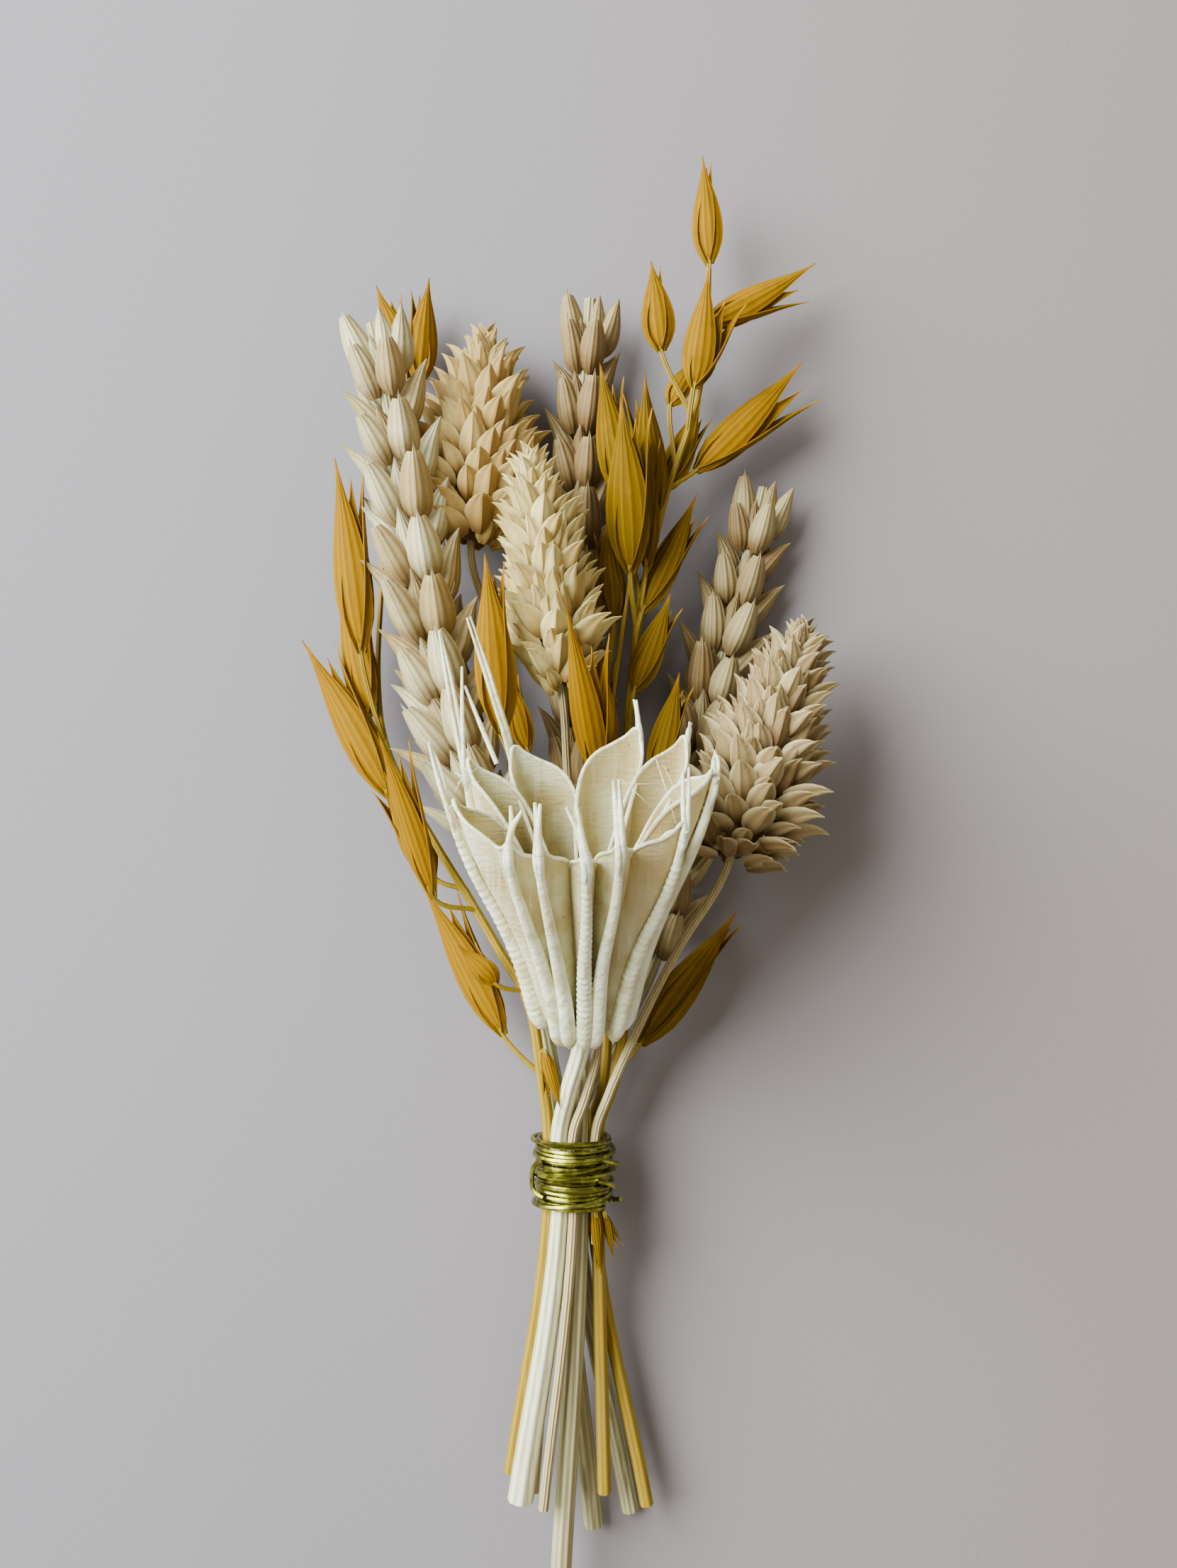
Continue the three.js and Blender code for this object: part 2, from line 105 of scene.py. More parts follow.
class Value:
    """A number socket of a material that can be used in a sum."""

    def __init__(self, finish, socket):
        self.finish = finish
        self.socket = socket

    def math(self, operation, other, swapped=False):
        pair = (other, self) if swapped else (self, other)
        return self.finish.node("ShaderNodeMath", {"operation": operation}, {0: pair[0], 1: pair[1]})

    def __add__(self, other):
        return self.math("ADD", other)

    __radd__ = __add__

    def __sub__(self, other):
        return self.math("SUBTRACT", other)

    def __rsub__(self, other):
        return self.math("SUBTRACT", other, True)

    def __mul__(self, other):
        return self.math("MULTIPLY", other)

    def waves(self):
        """Its sine, from 0 to 1."""
        return self.math("SINE", 0.0) * 0.5 + 0.5

    def size(self):
        return self.math("ABSOLUTE", 0.0)

    def over(self, other):
        return self.math("GREATER_THAN", other)


# How deep light goes into dry plant walls, in metres, and how much of red, green and blue.
GLOW_DEPTH = 0.0012
GLOW_COLOURS = (1.0, 0.75, 0.45)


class Finish:
    """A material built from Python expressions."""

    def __init__(self, name, roughness=0.5, metallic=0.0, shine=0.15, glow_through=0.0):
        self.material = bpy.data.materials.new(name)
        self.material.use_nodes = True
        self.tree = self.material.node_tree
        self.shader = self.tree.nodes["Principled BSDF"]
        for socket, value in (
            ("Roughness", roughness), ("Metallic", metallic),
            ("Specular IOR Level", shine), ("Subsurface Weight", glow_through),
            ("Subsurface Scale", GLOW_DEPTH), ("Subsurface Radius", GLOW_COLOURS),
        ):
            self.shader.inputs[socket].default_value = value

    def node(self, kind, settings=None, inputs=None, output=0):
        node = self.tree.nodes.new(kind)
        for key, value in (settings or {}).items():
            setattr(node, key, value)
        for key, value in (inputs or {}).items():
            self.feed(node.inputs[key], value)
        return Value(self, node.outputs[output])

    def feed(self, socket, value):
        if isinstance(value, Value):
            self.tree.links.new(value.socket, socket)
        elif isinstance(value, tuple) and len(value) == 3 and socket.type == "RGBA":
            socket.default_value = (*value, 1.0)
        else:
            socket.default_value = value

    def set(self, socket, value):
        self.feed(self.shader.inputs[socket], value)

    def across(self):
        return self.split(self.node("ShaderNodeUVMap"), 0)

    def along(self):
        return self.split(self.node("ShaderNodeUVMap"), 1)

    def split(self, vector, axis):
        return self.node("ShaderNodeSeparateXYZ", None, {0: vector}, axis)

    def place(self):
        return self.node("ShaderNodeTexCoord", None, None, "Object")

    def tone(self):
        return self.node("ShaderNodeAttribute", {"attribute_name": "tone"}, None, "Fac")

    def noise(self, waves, detail=3.0):
        """Noise with so many waves a metre, the same or one number for each direction."""
        stretch = waves if isinstance(waves, tuple) else (waves, waves, waves)
        where = self.node("ShaderNodeMapping", None, {"Vector": self.place(), "Scale": stretch})
        inputs = {"Vector": where, "Scale": 1.0, "Detail": detail, "Roughness": 0.55}
        return self.node("ShaderNodeTexNoise", None, inputs)

    def rise(self, value, low, high):
        """0 where the value is low, 1 where it is high, and smooth between."""
        inputs = {0: value, 1: low, 2: high}
        return self.node("ShaderNodeMapRange", {"interpolation_type": "SMOOTHSTEP"}, inputs)

    def fall(self, value, low, high):
        return 1.0 - self.rise(value, low, high)

    def mix(self, share, first, second):
        inputs = {0: share, 6: first, 7: second}
        return self.node("ShaderNodeMix", {"data_type": "RGBA"}, inputs, 2)

    def paint(self, share, colour, under=None):
        """Lays a share of a colour over the last one, or over one to start from."""
        self.colour = self.mix(share, self.colour if under is None else under, colour)
        self.set("Base Color", self.colour)

    def bump(self, height, distance):
        """Relief whose full height is the distance, in metres."""
        inputs = {"Height": height, "Distance": distance}
        self.set("Normal", self.node("ShaderNodeBump", None, inputs))


OAT_RIDGES = 5.0
OAT_GOLD = (0.25, 0.128, 0.0008)
OAT_FURROW = (0.19, 0.09, 0.0008)
OAT_BRIGHT = (0.37, 0.21, 0.003)
OAT_OLIVE = (0.105, 0.062, 0.001)
OAT_TIP = (0.46, 0.21, 0.01)
POD_IVORY = (0.68, 0.68, 0.41)
POD_WARM = (0.52, 0.42, 0.19)
POD_RIM = (0.88, 0.90, 0.64)
POD_TAN = (0.41, 0.31, 0.135)
POD_SPECK = (0.16, 0.06, 0.015)
WIRE_DULL = (0.17, 0.165, 0.022)
WIRE_BRIGHT = (0.45, 0.46, 0.08)
TABLE_GREY = (0.228, 0.221, 0.230)
TABLE_WARM_SHADE = (0.243, 0.213, 0.205)
# Between which x, in metres, painted shade turns the pod tan towards the right and the table warm.
POD_SHADE_TURN, TABLE_SHADE_TURN = (0.005, 0.013), (-0.04, 0.18)


def husk_finish(name, root, body, pale, tip, veins, roughness, relief, edging, papery):
    """Dry chaff: darker at the root, partly with painted shade where the husks overlap, paler on the
    back, with fine veins along it. Edging darkens its edges, and papery lightens them, as where it
    is thin."""
    finish = Finish(name, roughness, glow_through=0.18)
    along = finish.along()
    across = finish.across()
    tone = finish.tone()
    patches = finish.noise(420.0)
    finish.paint(finish.rise(tone + patches * 0.5, 0.35, 1.1), pale, under=body)
    # Darker towards the root: partly the husk's own colour, partly painted shade where it lies under
    # the next husk.
    rootward = finish.fall(along + patches * 0.2, 0.06, 0.66)
    finish.paint(rootward * 0.9, root)
    finish.paint(finish.rise(along, 0.84, 1.0) * 0.7, tip)
    lines = (across * (veins * tau)).waves()
    grain = finish.noise(1500.0, 2.0)
    finish.paint((1.0 - lines) * (0.14 + edging * 0.4), root)
    edge = finish.rise((across - 0.5).size() * 2.0, 0.55, 1.0)
    finish.paint(edge * edging, root)
    finish.paint(edge * papery, tip)
    finish.set("Roughness", roughness - 0.08 + patches * 0.2)
    finish.bump(lines * relief + grain * 0.4, distance=0.00015)
    return finish.material


def stem_finish(name, light, dark, shade, roughness, ribs, relief):
    """A cut stalk: ribs that run along it and slow changes of colour. The UV direction that
    runs along a husk runs round a stalk."""
    finish = Finish(name, roughness, glow_through=0.06)
    around = finish.along()
    fibres = finish.noise((1500.0, 60.0, 1500.0))
    ridges = (around * (ribs * tau) + fibres * 2.0).waves()
    slow = finish.noise((60.0, 25.0, 60.0), 2.0)
    finish.paint(finish.rise(fibres * 0.65 + ridges * 0.35, 0.2, 0.7), light, under=dark)
    finish.paint(finish.rise(slow, 0.5, 0.78) * 0.6, shade)
    finish.set("Roughness", roughness + slow * 0.15)
    finish.bump(ridges * 0.8 + fibres * 0.4, relief)
    return finish.material


def oat_finish():
    """Dyed oat husk: golden ridges, darker furrows, olive patches that are partly bruises and
    partly painted shade, and pale dry tips.
    """
    finish = Finish("golden_oat_husk", 0.45, shine=0.03)
    along = finish.along()
    across = finish.across()
    tone = finish.tone()
    patches = finish.noise(260.0, 4.0)
    ridges = (across * (OAT_RIDGES * tau)).waves()
    finish.paint(ridges * 0.6 + patches * 0.4, OAT_GOLD, under=OAT_FURROW)
    # Olive patches: random bruises, and the painted shade that the tone carries.
    finish.paint(finish.rise(patches + tone * 0.5, 0.62, 1.05) * 0.8, OAT_OLIVE)
    finish.paint(finish.rise(ridges, 0.82, 1.0) * 0.25, OAT_BRIGHT)
    finish.paint(finish.fall(along, 0.0, 0.12) * 0.7, OAT_OLIVE)
    finish.paint(finish.rise(along + patches * 0.1, 0.86, 1.05) * 0.8, OAT_TIP)
    finish.set("Roughness", 0.36 + patches * 0.18)
    fibres = finish.noise((1200.0, 300.0, 1200.0), 2.0)
    finish.bump(ridges * 0.35 + fibres * 0.3, distance=0.0002)
    return finish.material


def pod_finish():
    """Ivory parchment: painted shade turns it tan away from the keel, deep in its folds, and on the
    right; satin, wrinkled, a few specks.
    """
    finish = Finish("ivory_pod_wall", 0.3, shine=0.5, glow_through=0.25)
    along = finish.along()
    across = finish.across()
    from_keel = (across - 0.5).size() * 2.0
    clouds = finish.noise(140.0, 4.0)
    streaks = finish.noise((1400.0, 110.0, 110.0))
    finish.paint(finish.rise(clouds, 0.38, 0.64), POD_WARM, under=POD_IVORY)
    finish.paint(finish.rise(streaks, 0.5, 0.75) * 0.5, POD_RIM)
    # Painted shade: tan deep in the folds, away from the keel.
    finish.paint(finish.rise(from_keel, 0.2, 0.6) * 0.6, POD_TAN)
    finish.paint(finish.rise(from_keel, 0.88, 1.0) * 0.7, POD_RIM)
    finish.paint(finish.fall(along, 0.0, 0.3) * 0.3, POD_TAN)
    # Painted shade: the pod's right side turns tan.
    shaded = finish.rise(finish.split(finish.place(), 0), *POD_SHADE_TURN)
    finish.paint(shaded * 0.6, POD_TAN)
    specks = finish.noise(1400.0, 2.0).over(0.7)
    near = finish.rise(clouds, 0.54, 0.62)
    finish.paint(specks * near * 0.8, POD_SPECK)
    finish.set("Roughness", 0.24 + clouds * 0.24)
    wrinkles = finish.noise((420.0, 1900.0, 700.0))
    finish.bump(wrinkles * 0.6 + streaks * 0.4, distance=0.00035)
    return finish.material


def pod_rib_finish():
    """The pod's thick ridges, rims and beaks: nearly white, with fine cross wrinkles."""
    finish = Finish("white_pod_rib", 0.34, shine=0.4, glow_through=0.25)
    clouds = finish.noise(300.0)
    finish.paint(finish.rise(clouds, 0.42, 0.66), POD_IVORY, under=POD_RIM)
    shade = finish.noise(90.0, 2.0)
    finish.paint(finish.rise(shade, 0.5, 0.72) * 0.55, POD_WARM)
    finish.set("Roughness", 0.28 + clouds * 0.2)
    wrinkles = finish.noise((500.0, 1600.0, 900.0))
    pearls = finish.noise((900.0, 1000.0, 900.0), 0.0)
    finish.bump(wrinkles * 0.6 + finish.rise(pearls, 0.4, 0.62) * 0.5, distance=0.00013)
    return finish.material


def wire_finish():
    finish = Finish("olive_gold_wire", 0.27, metallic=1.0)
    # Random patches of brighter metal colour, which are also rougher.
    metal_patches = finish.noise(700.0)
    finish.paint(finish.rise(metal_patches, 0.4, 0.7), WIRE_BRIGHT, under=WIRE_DULL)
    finish.set("Roughness", 0.2 + metal_patches * 0.16)
    finish.bump(metal_patches, distance=0.00005)
    return finish.material


def table_finish():
    finish = Finish("pale_table", 0.8, shine=0.1)
    clouds = finish.noise(6.0, 2.0)
    grain = finish.noise(900.0, 2.0)
    # Painted warm shade: the table turns warmer and a little darker towards the right.
    warm_shade = finish.rise(finish.split(finish.place(), 0) + clouds * 0.1, *TABLE_SHADE_TURN)
    finish.paint(warm_shade, TABLE_WARM_SHADE, under=TABLE_GREY)
    finish.bump(grain, distance=0.00003)
    return finish.material


# The name, the colours at the root, of the body, on the back and at the tip, how many veins,
# roughness, relief, edging and paperiness.
HUSKS = {
    "wheat": (
        "bleached_wheat_husk", (0.22, 0.13, 0.042), (0.36, 0.27, 0.11), (0.64, 0.61, 0.35),
        (0.58, 0.52, 0.28), 5.0, 0.46, 0.9, 0.4, 0.0),
    # A darker, tanner copy of the wheat husk for the ears that lie low in the bouquet: partly their
    # own tan, partly painted shade.
    "tan_wheat": (
        "tan_and_shaded_wheat_husk", (0.13, 0.07, 0.02), (0.25, 0.17, 0.066), (0.44, 0.36, 0.17),
        (0.44, 0.35, 0.16), 5.0, 0.46, 0.9, 0.35, 0.0),
    "canary_pale": (
        "pale_canary_glume", (0.25, 0.135, 0.03), (0.46, 0.335, 0.105), (0.64, 0.53, 0.21),
        (0.74, 0.64, 0.29), 3.0, 0.5, 0.7, 0.0, 0.45),
    # A darker copy of the canary glume for the head that lies in the bouquet's shade: painted shade,
    # and a little tanner too.
    "canary_bud": (
        "shaded_canary_glume", (0.12, 0.06, 0.02), (0.19, 0.122, 0.045), (0.33, 0.245, 0.105),
        (0.58, 0.49, 0.25), 3.0, 0.5, 0.8, 0.0, 0.6),
    "canary_core": (
        "shaded_canary_middle", (0.12, 0.06, 0.015), (0.16, 0.085, 0.025), (0.2, 0.11, 0.035),
        (0.2, 0.11, 0.035), 2.0, 0.6, 0.5, 0.0, 0.0),
    # A darker, tanner copy of the canary glume for the head that lies lowest: partly its own tan,
    # partly painted shade.
    "canary_tan": (
        "tan_and_shaded_canary_glume", (0.24, 0.12, 0.024), (0.40, 0.26, 0.075), (0.52, 0.375, 0.13),
        (0.58, 0.45, 0.18), 3.0, 0.55, 0.7, 0.0, 0.4),
}
# The name, the light, dark and shaded colours, roughness, how many ribs and their height.
STEMS = {
    "wheat_stem": (
        "bleached_straw", (0.50, 0.47, 0.26), (0.26, 0.235, 0.10), (0.34, 0.29, 0.13),
        0.4, 9.0, 0.0002),
    "pod_stem": (
        "white_pod_stem", (0.80, 0.82, 0.56), (0.46, 0.42, 0.22), (0.62, 0.56, 0.33),
        0.45, 7.0, 0.0002),
    "canary_stem": (
        "tan_grass_stem", (0.60, 0.52, 0.27), (0.36, 0.27, 0.11), (0.46, 0.33, 0.14),
        0.4, 9.0, 0.0002),
    "oat_stem": (
        "golden_oat_stem", (0.36, 0.24, 0.018), (0.22, 0.14, 0.009), (0.25, 0.19, 0.045),
        0.36, 6.0, 0.00008),
}


def make_finishes():
    finishes = {kind: husk_finish(*values) for kind, values in HUSKS.items()}
    finishes["oats"] = oat_finish()
    finishes["pod"] = pod_finish()
    finishes["pod_rib"] = pod_rib_finish()
    finishes["wire"] = wire_finish()
    for kind, values in STEMS.items():
        finishes[kind] = stem_finish(*values)
    return finishes


# ------------ modelling helpers

def nothing_selected():
    bpy.ops.object.select_all(action="DESELECT")


def select(whole):
    """Selects one object alone and makes it the active one."""
    nothing_selected()
    whole.select_set(True)
    bpy.context.view_layer.objects.active = whole


def own_copy(shape):
    """A copy of an object with a mesh of its own."""
    copy = shape.copy()
    copy.data = shape.data.copy()
    bpy.context.collection.objects.link(copy)
    return copy


def move(x, y, z):
    bpy.ops.transform.translate(value=(x, y, z))


def choose(obj, numbers):
    """Selects only the numbered vertices of the object that is open in edit mode."""
    shape = bmesh.from_edit_mesh(obj.data)
    shape.verts.ensure_lookup_table()
    for vertex in shape.verts:
        vertex.select_set(False)
    for number in numbers:
        shape.verts[number].select_set(True)
    bmesh.update_edit_mesh(obj.data)


def lines_of(obj, axis):
    """The vertex numbers of a flat grid, line by line along one axis."""
    lines = {}
    for vertex in obj.data.vertices:
        lines.setdefault(round(vertex.co[axis], 4), []).append(vertex.index)
    return [lines[key] for key in sorted(lines)]


# How steeply a cupped edge bends down, and how far the tooth at the tip dips.
CUP_CURVE, TOOTH_DIP = 1.6, 0.05


def blade(name, widths, lifts, cup, columns, furrow=0.0, tooth=0.0):
    """A husk one unit long and wide, growing along Y with its back to +Z. Widths and lifts go
    from root to tip; cup bends the edges down, furrow sinks every second line, tooth draws
    the middle of the tip out."""
    nothing_selected()
    rows = len(widths) - 1
    bpy.ops.mesh.primitive_grid_add(x_subdivisions=columns, y_subdivisions=rows, size=1.0)
    husk = bpy.context.object
    husk.name = name
    upright = lines_of(husk, 0)
    level = lines_of(husk, 1)
    bpy.ops.object.mode_set(mode="EDIT")
    bpy.ops.mesh.select_all(action="SELECT")
    move(0.0, 0.5, 0.0)
    for i, line in enumerate(upright):
        off_middle = abs(2.0 * i / columns - 1.0)
        sink = cup * off_middle ** CUP_CURVE + (furrow if i % 2 else 0.0)
        choose(husk, line)
        move(0.0, 0.0, -sink)
    for j, line in enumerate(level):
        choose(husk, line)
        middle = (0.0, j / rows, 0.0)
        bpy.ops.transform.resize(value=(widths[j], 1.0, widths[j]), center_override=middle)
        move(0.0, 0.0, lifts[j])
    if tooth:
        choose(husk, [upright[columns // 2][-1]])
        move(0.0, tooth, -TOOTH_DIP)
    bpy.ops.object.mode_set(mode="OBJECT")
    return husk


def grow(shape, base, along, out, size, tone):
    """A copy of a husk with its own mesh, growing from base along a direction, its back
    towards out. Size is width, length and depth in millimetres."""
    copy = own_copy(shape)
    along = along.normalized()
    side = along.cross(out).normalized()
    back = side.cross(along)
    width, length, depth = size
    frame_of_copy = Matrix((side * width, along * length, back * depth)).transposed() * MM
    copy.data.transform(Matrix.Translation(base) @ frame_of_copy.to_4x4())
    tones = copy.data.attributes.new("tone", "FLOAT", "POINT")
    tones.data.foreach_set("value", [tone] * len(copy.data.vertices))
    return copy


def joined(name, pieces):
    nothing_selected()
    for piece in pieces:
        piece.select_set(True)
    bpy.context.view_layer.objects.active = pieces[0]
    bpy.ops.object.join()
    whole = bpy.context.object
    whole.name = name
    return whole


def thickened(whole, thickness):
    """Gives open husks their real thickness."""
    select(whole)
    bpy.ops.object.modifier_add(type="SOLIDIFY")
    whole.modifiers[-1].thickness = thickness * MM
    whole.modifiers[-1].offset = -1.0
    bpy.ops.object.modifier_apply(modifier=whole.modifiers[-1].name)


def pressed_flat(whole):
    """What would sink into the table is pressed flat on it."""
    low = [vertex.index for vertex in whole.data.vertices if vertex.co.z < 0.0]
    if not low:
        return
    select(whole)
    bpy.ops.object.mode_set(mode="EDIT")
    choose(whole, low)
    bpy.ops.transform.resize(value=(1.0, 1.0, 0.0), center_override=(0.0, 0.0, 0.0))
    bpy.ops.object.mode_set(mode="OBJECT")


def stalk(name, points, radii, sides=3, steps=8, unit=MM):
    """A round stalk through the points, with a radius at each. The radii are millimetres, and
    the unit is how long a millimetre is where the points are."""
    nothing_selected()
    bpy.ops.curve.primitive_bezier_curve_add()
    line = bpy.context.object
    line.name = name
    line.location = (0.0, 0.0, 0.0)
    line.data.resolution_u = steps
    line.data.bevel_resolution = sides
    line.data.bevel_depth = unit
    line.data.use_fill_caps = True
    spline = line.data.splines[0]
    spline.bezier_points.add(len(points) - 2)
    for point, place, radius in zip(spline.bezier_points, points, radii):
        point.co = place
        point.radius = radius
        point.handle_left_type = "AUTO"
        point.handle_right_type = "AUTO"
    bpy.ops.object.convert(target="MESH")
    return bpy.context.object


def finish_piece(piece, node, finish, angle=55.0):
    """Smooths edges below the angle, in degrees, and gives a piece its finish. The piece rides
    on the bouquet and stands for its CAD node."""
    select(piece)
    bpy.ops.object.shade_smooth_by_angle(angle=radians(angle))
    pressed_flat(piece)
    piece.data.materials.clear()
    piece.data.materials.append(finish)
    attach(piece, "root")
    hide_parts(node)


def sideways(along):
    """The directions to the right of a stem that runs along a direction, and up from it."""
    side = along.cross(UP).normalized()
    return side, side.cross(along).normalized()


def turned(start, end, angle):
    """The direction that is an angle away from one towards another."""
    return start * cos(angle) + end * sin(angle)


def along_line(points, share):
    """The place and direction at a share of a smooth line's length."""
    spans = [(b - a).length for a, b in zip(points, points[1:])]
    goal = share * sum(spans)
    for i, span in enumerate(spans):
        if goal <= span or i == len(spans) - 1:
            break
        goal -= span
    t = goal / spans[i]
    before = points[max(i - 1, 0)]
    after = points[min(i + 2, len(points) - 1)]
    start, end = points[i], points[i + 1]
    pull_start = (end - before) * 0.5
    pull_end = (after - start) * 0.5
    place = (
        start * (2 * t ** 3 - 3 * t ** 2 + 1) + pull_start * (t ** 3 - 2 * t ** 2 + t)
        + end * (3 * t ** 2 - 2 * t ** 3) + pull_end * (t ** 3 - t ** 2)
    )
    along = (
        start * (6 * t ** 2 - 6 * t) + pull_start * (3 * t ** 2 - 4 * t + 1)
        + end * (6 * t - 6 * t ** 2) + pull_end * (3 * t ** 2 - 2 * t)
    )
    return place, along.normalized()


# ------------ how the stems run

# How far on both sides of the tie's middle the stems run straight.
TIE_RUN = 6.0


def stem_points(cut_end, in_tie, above):
    """From the cut end, past an x and z in the tie, and on over the points above it."""
    x, z = in_tie
    return [at(*cut_end), at(x, -TIE_RUN, z), at(x, TIE_RUN, z)] + [at(*point) for point in above]


def tapered(count, start, end):
    return [start + (end - start) * i / (count - 1) for i in range(count)]


# ------------ wheat

# The husks of a spikelet that faces the viewer and of one on the far side: the shape, the swing
# to the right and the tilt outwards in degrees, width, length, and how far right and outwards
# it starts.
NEAR_SPIKELET = (
    ("pointed", -4, 4, 4.2, 10.4, -0.2, 0.2),
    ("plump", -15, 11, 4.4, 9.4, -1.9, 0.9),
    ("plump", 3, 15, 4.9, 9.4, 1.3, 1.6),
)
FAR_SPIKELET = (
    ("pointed", -33, 4, 3.4, 10.2, -2.0, -0.6),
    ("pointed", -20, 9, 3.8, 10.4, -1.6, 0.3),
    ("pointed", 27, 2, 4.6, 11.0, 2.0, -0.7),
    ("pointed", 17, 7, 4.8, 10.4, 1.3, 0.4),
    ("plump", -8, 15, 4.5, 9.0, -1.7, 1.3),
    ("plump", 9, 15, 4.7, 9.0, 1.7, 1.3),
)
SPIKELETS = 17
# Husks that swing out further than this show their side.
SIDE_HUSK_SWING = 18
# How far a husk's swing and tilt stray in degrees, and its length and depth as shares.
SWING_RANGE, TILT_RANGE = (-5, 5), (-4, 4)
LENGTH_RANGE, DEPTH_RANGE = (0.88, 1.1), (0.85, 1.1)
EXTRA_TILT, EXTRA_OUT = 3, 0.5
# The shares of the ear's line at which the two ranks end and the last husks start.
RANKS_END, LAST_HUSKS_START = 0.85, 0.88
# The last husks: the shape, the swing and how far right each starts, their size and height.
LAST_HUSKS = (("plump", -14, -1.3), ("pointed", 4, 0.8), ("pointed", 16, 2.0))
LAST_HUSK_SIZE = (4.2, 9.6, 4.4)
LAST_HUSK_HEIGHT = 0.8
STRAW_NARROWING = 0.62

# Each ear: its node, the straw's cut end, where it crosses the tie and its way above it, the
# ear's line from base to tip, the straw's radius, the husks' size, how far they fan out, how
# bleached they are from 0 to 1, their finish and the seed.
WHEAT = (
    ("wheat_left", (3.1, -54, 1.8), (-1.39, 7.3),
     [(-2.6, 12, 6.9), (-4.6, 22, 6.4), (-6.6, 32, 7.8)],
     [(-10.4, 44, 10.8), (-13.4, 53, 11.6), (-16.4, 62.1, 12.2), (-20.4, 80, 13.4),
      (-23.8, 99.6, 15.6), (-27.6, 119, 16.8)], 1.4, 1.0, 1.0, 0.9, "wheat", 11),
    # This ear's lower bleach, like its tan finish, is partly its own tan and partly painted shade.
    ("wheat_back", (-1.9, -62.6, 7.5), (0.97, 9.42), [(1.2, 12, 8.8), (1.0, 28, 6.2)],
     [(0.8, 47, 5.4), (0.8, 66, 5.4), (0.9, 91, 5.4), (1.4, 110, 5.4), (2.6, 125.8, 5.5)],
     1.5, 0.92, 0.8, 0.5, "tan_wheat", 23),
    ("wheat_right", (8.5, -52, 1.3), (0.32, 4.85), [(2.4, 11, 4.6), (7.2, 20, 5.2)],
     [(12.0, 30, 5.2), (15.6, 48, 4.6), (20.2, 68, 4.5), (24.4, 84, 4.5), (27.9, 98.6, 4.6)],
     1.3, 0.9, 1.0, 0.9, "tan_wheat", 37),
)


def wheat_shapes():
    plump = blade(
        "plump_husk", (0.4, 0.8, 0.97, 1.0, 0.97, 0.9, 0.78, 0.62, 0.4),
        (0.0, 0.17, 0.27, 0.31, 0.3, 0.27, 0.22, 0.16, 0.13),
        cup=0.5, columns=8, furrow=0.022, tooth=0.14)
    pointed = blade(
        "pointed_husk", (0.34, 0.76, 0.97, 1.0, 0.92, 0.76, 0.54, 0.3, 0.04),
        (0.0, 0.13, 0.22, 0.25, 0.23, 0.19, 0.16, 0.15, 0.2), cup=0.46, columns=8, furrow=0.018)
    return {"plump": plump, "pointed": pointed}


def wheat_ear(name, line, size, spread, bleach, seed, shapes):
    """Spikelets in two ranks on the middle of the ear, one rank up and one down."""
    rng = random.Random(seed)
    husks = []
    for i in range(SPIKELETS):
        near = i % 2 == 0
        share = RANKS_END * i / (SPIKELETS - 1)
        place, along = along_line(line, share)
        side, face = sideways(along)
        upward = face if near else -face
        bulk = size * (0.84 + 0.2 * sin(pi * min(1.0, share + 0.15)))
        spikelet = NEAR_SPIKELET if near else FAR_SPIKELET
        for kind, swing, tilt, width, length, right, forward in spikelet:
            turn = radians(spread * (swing + rng.uniform(*SWING_RANGE)))
            lean = radians(tilt + EXTRA_TILT + rng.uniform(*TILT_RANGE))
            direction = turned(turned(along, side, turn), upward, lean)
            back = upward if abs(swing) < SIDE_HUSK_SWING else face * 0.8
            roll = side * (sin(turn) * 1.1) + back
            base = place + (side * right * spread + upward * (forward + EXTRA_OUT)) * bulk * MM
            long = length * bulk * rng.uniform(*LENGTH_RANGE)
            deep = width * bulk * rng.uniform(*DEPTH_RANGE)
            pale = bleach * rng.uniform(0.1, 1.0)
            bulge = (width * bulk, long, deep)
            husks.append(grow(shapes[kind], base, direction, roll, bulge, pale))
    place, along = along_line(line, LAST_HUSKS_START)
    side, face = sideways(along)
    for kind, swing, right in LAST_HUSKS:
        direction = along + side * sin(radians(swing))
        base = place + (side * right + face * LAST_HUSK_HEIGHT) * size * MM
        bulge = [part * size for part in LAST_HUSK_SIZE]
        pale = bleach * rng.uniform(0.5, 1.0)
        husks.append(grow(shapes[kind], base, direction, face, bulge, pale))
    ear = joined(name + "_ear", husks)
    thickened(ear, 0.16)
    return ear


def wheat(stem, shapes, finishes):
    name, cut_end, in_tie, above, ear_line, radius, size, spread, bleach, kind, seed = stem
    line = [at(*point) for point in ear_line]
    ear = wheat_ear(name, line, size, spread, bleach, seed, shapes)
    finish_piece(ear, name, finishes[kind], angle=75.0)
    points = stem_points(cut_end, in_tie, above) + line
    radii = tapered(len(points), radius, radius * STRAW_NARROWING)
    straw = stalk(name + "_straw", points, radii)
    finish_piece(straw, name, finishes["wheat_stem"])


# ------------ canary grass

# How wide an egg-shaped head is from its base to its tip.
EGG = (0.5, 0.82, 0.96, 1.0, 0.98, 0.92, 0.83, 0.72, 0.58, 0.4, 0.16)
# The heads are a little flattened, and their dense middles end this far inside the scales' roots.
FLATTENED = 0.85
CORE_INSIDE = 0.7
# Half that middle's length and the place of its centre, as shares of the head's length.
CORE_HALF, CORE_CENTRE = 0.4, 0.46
GOLDEN_TURN = pi * (3.0 - sqrt(5.0))
# How deep a scale is beside its width, and how far its turn, tilt, direction and size stray.
SCALE_DEPTH = 0.72
TURN_STRAY, TILT_STRAY, SIDE_STRAY = 0.15, 12, 0.26
SMALLEST_SCALE, LARGEST_SCALE = 0.76, 1.2
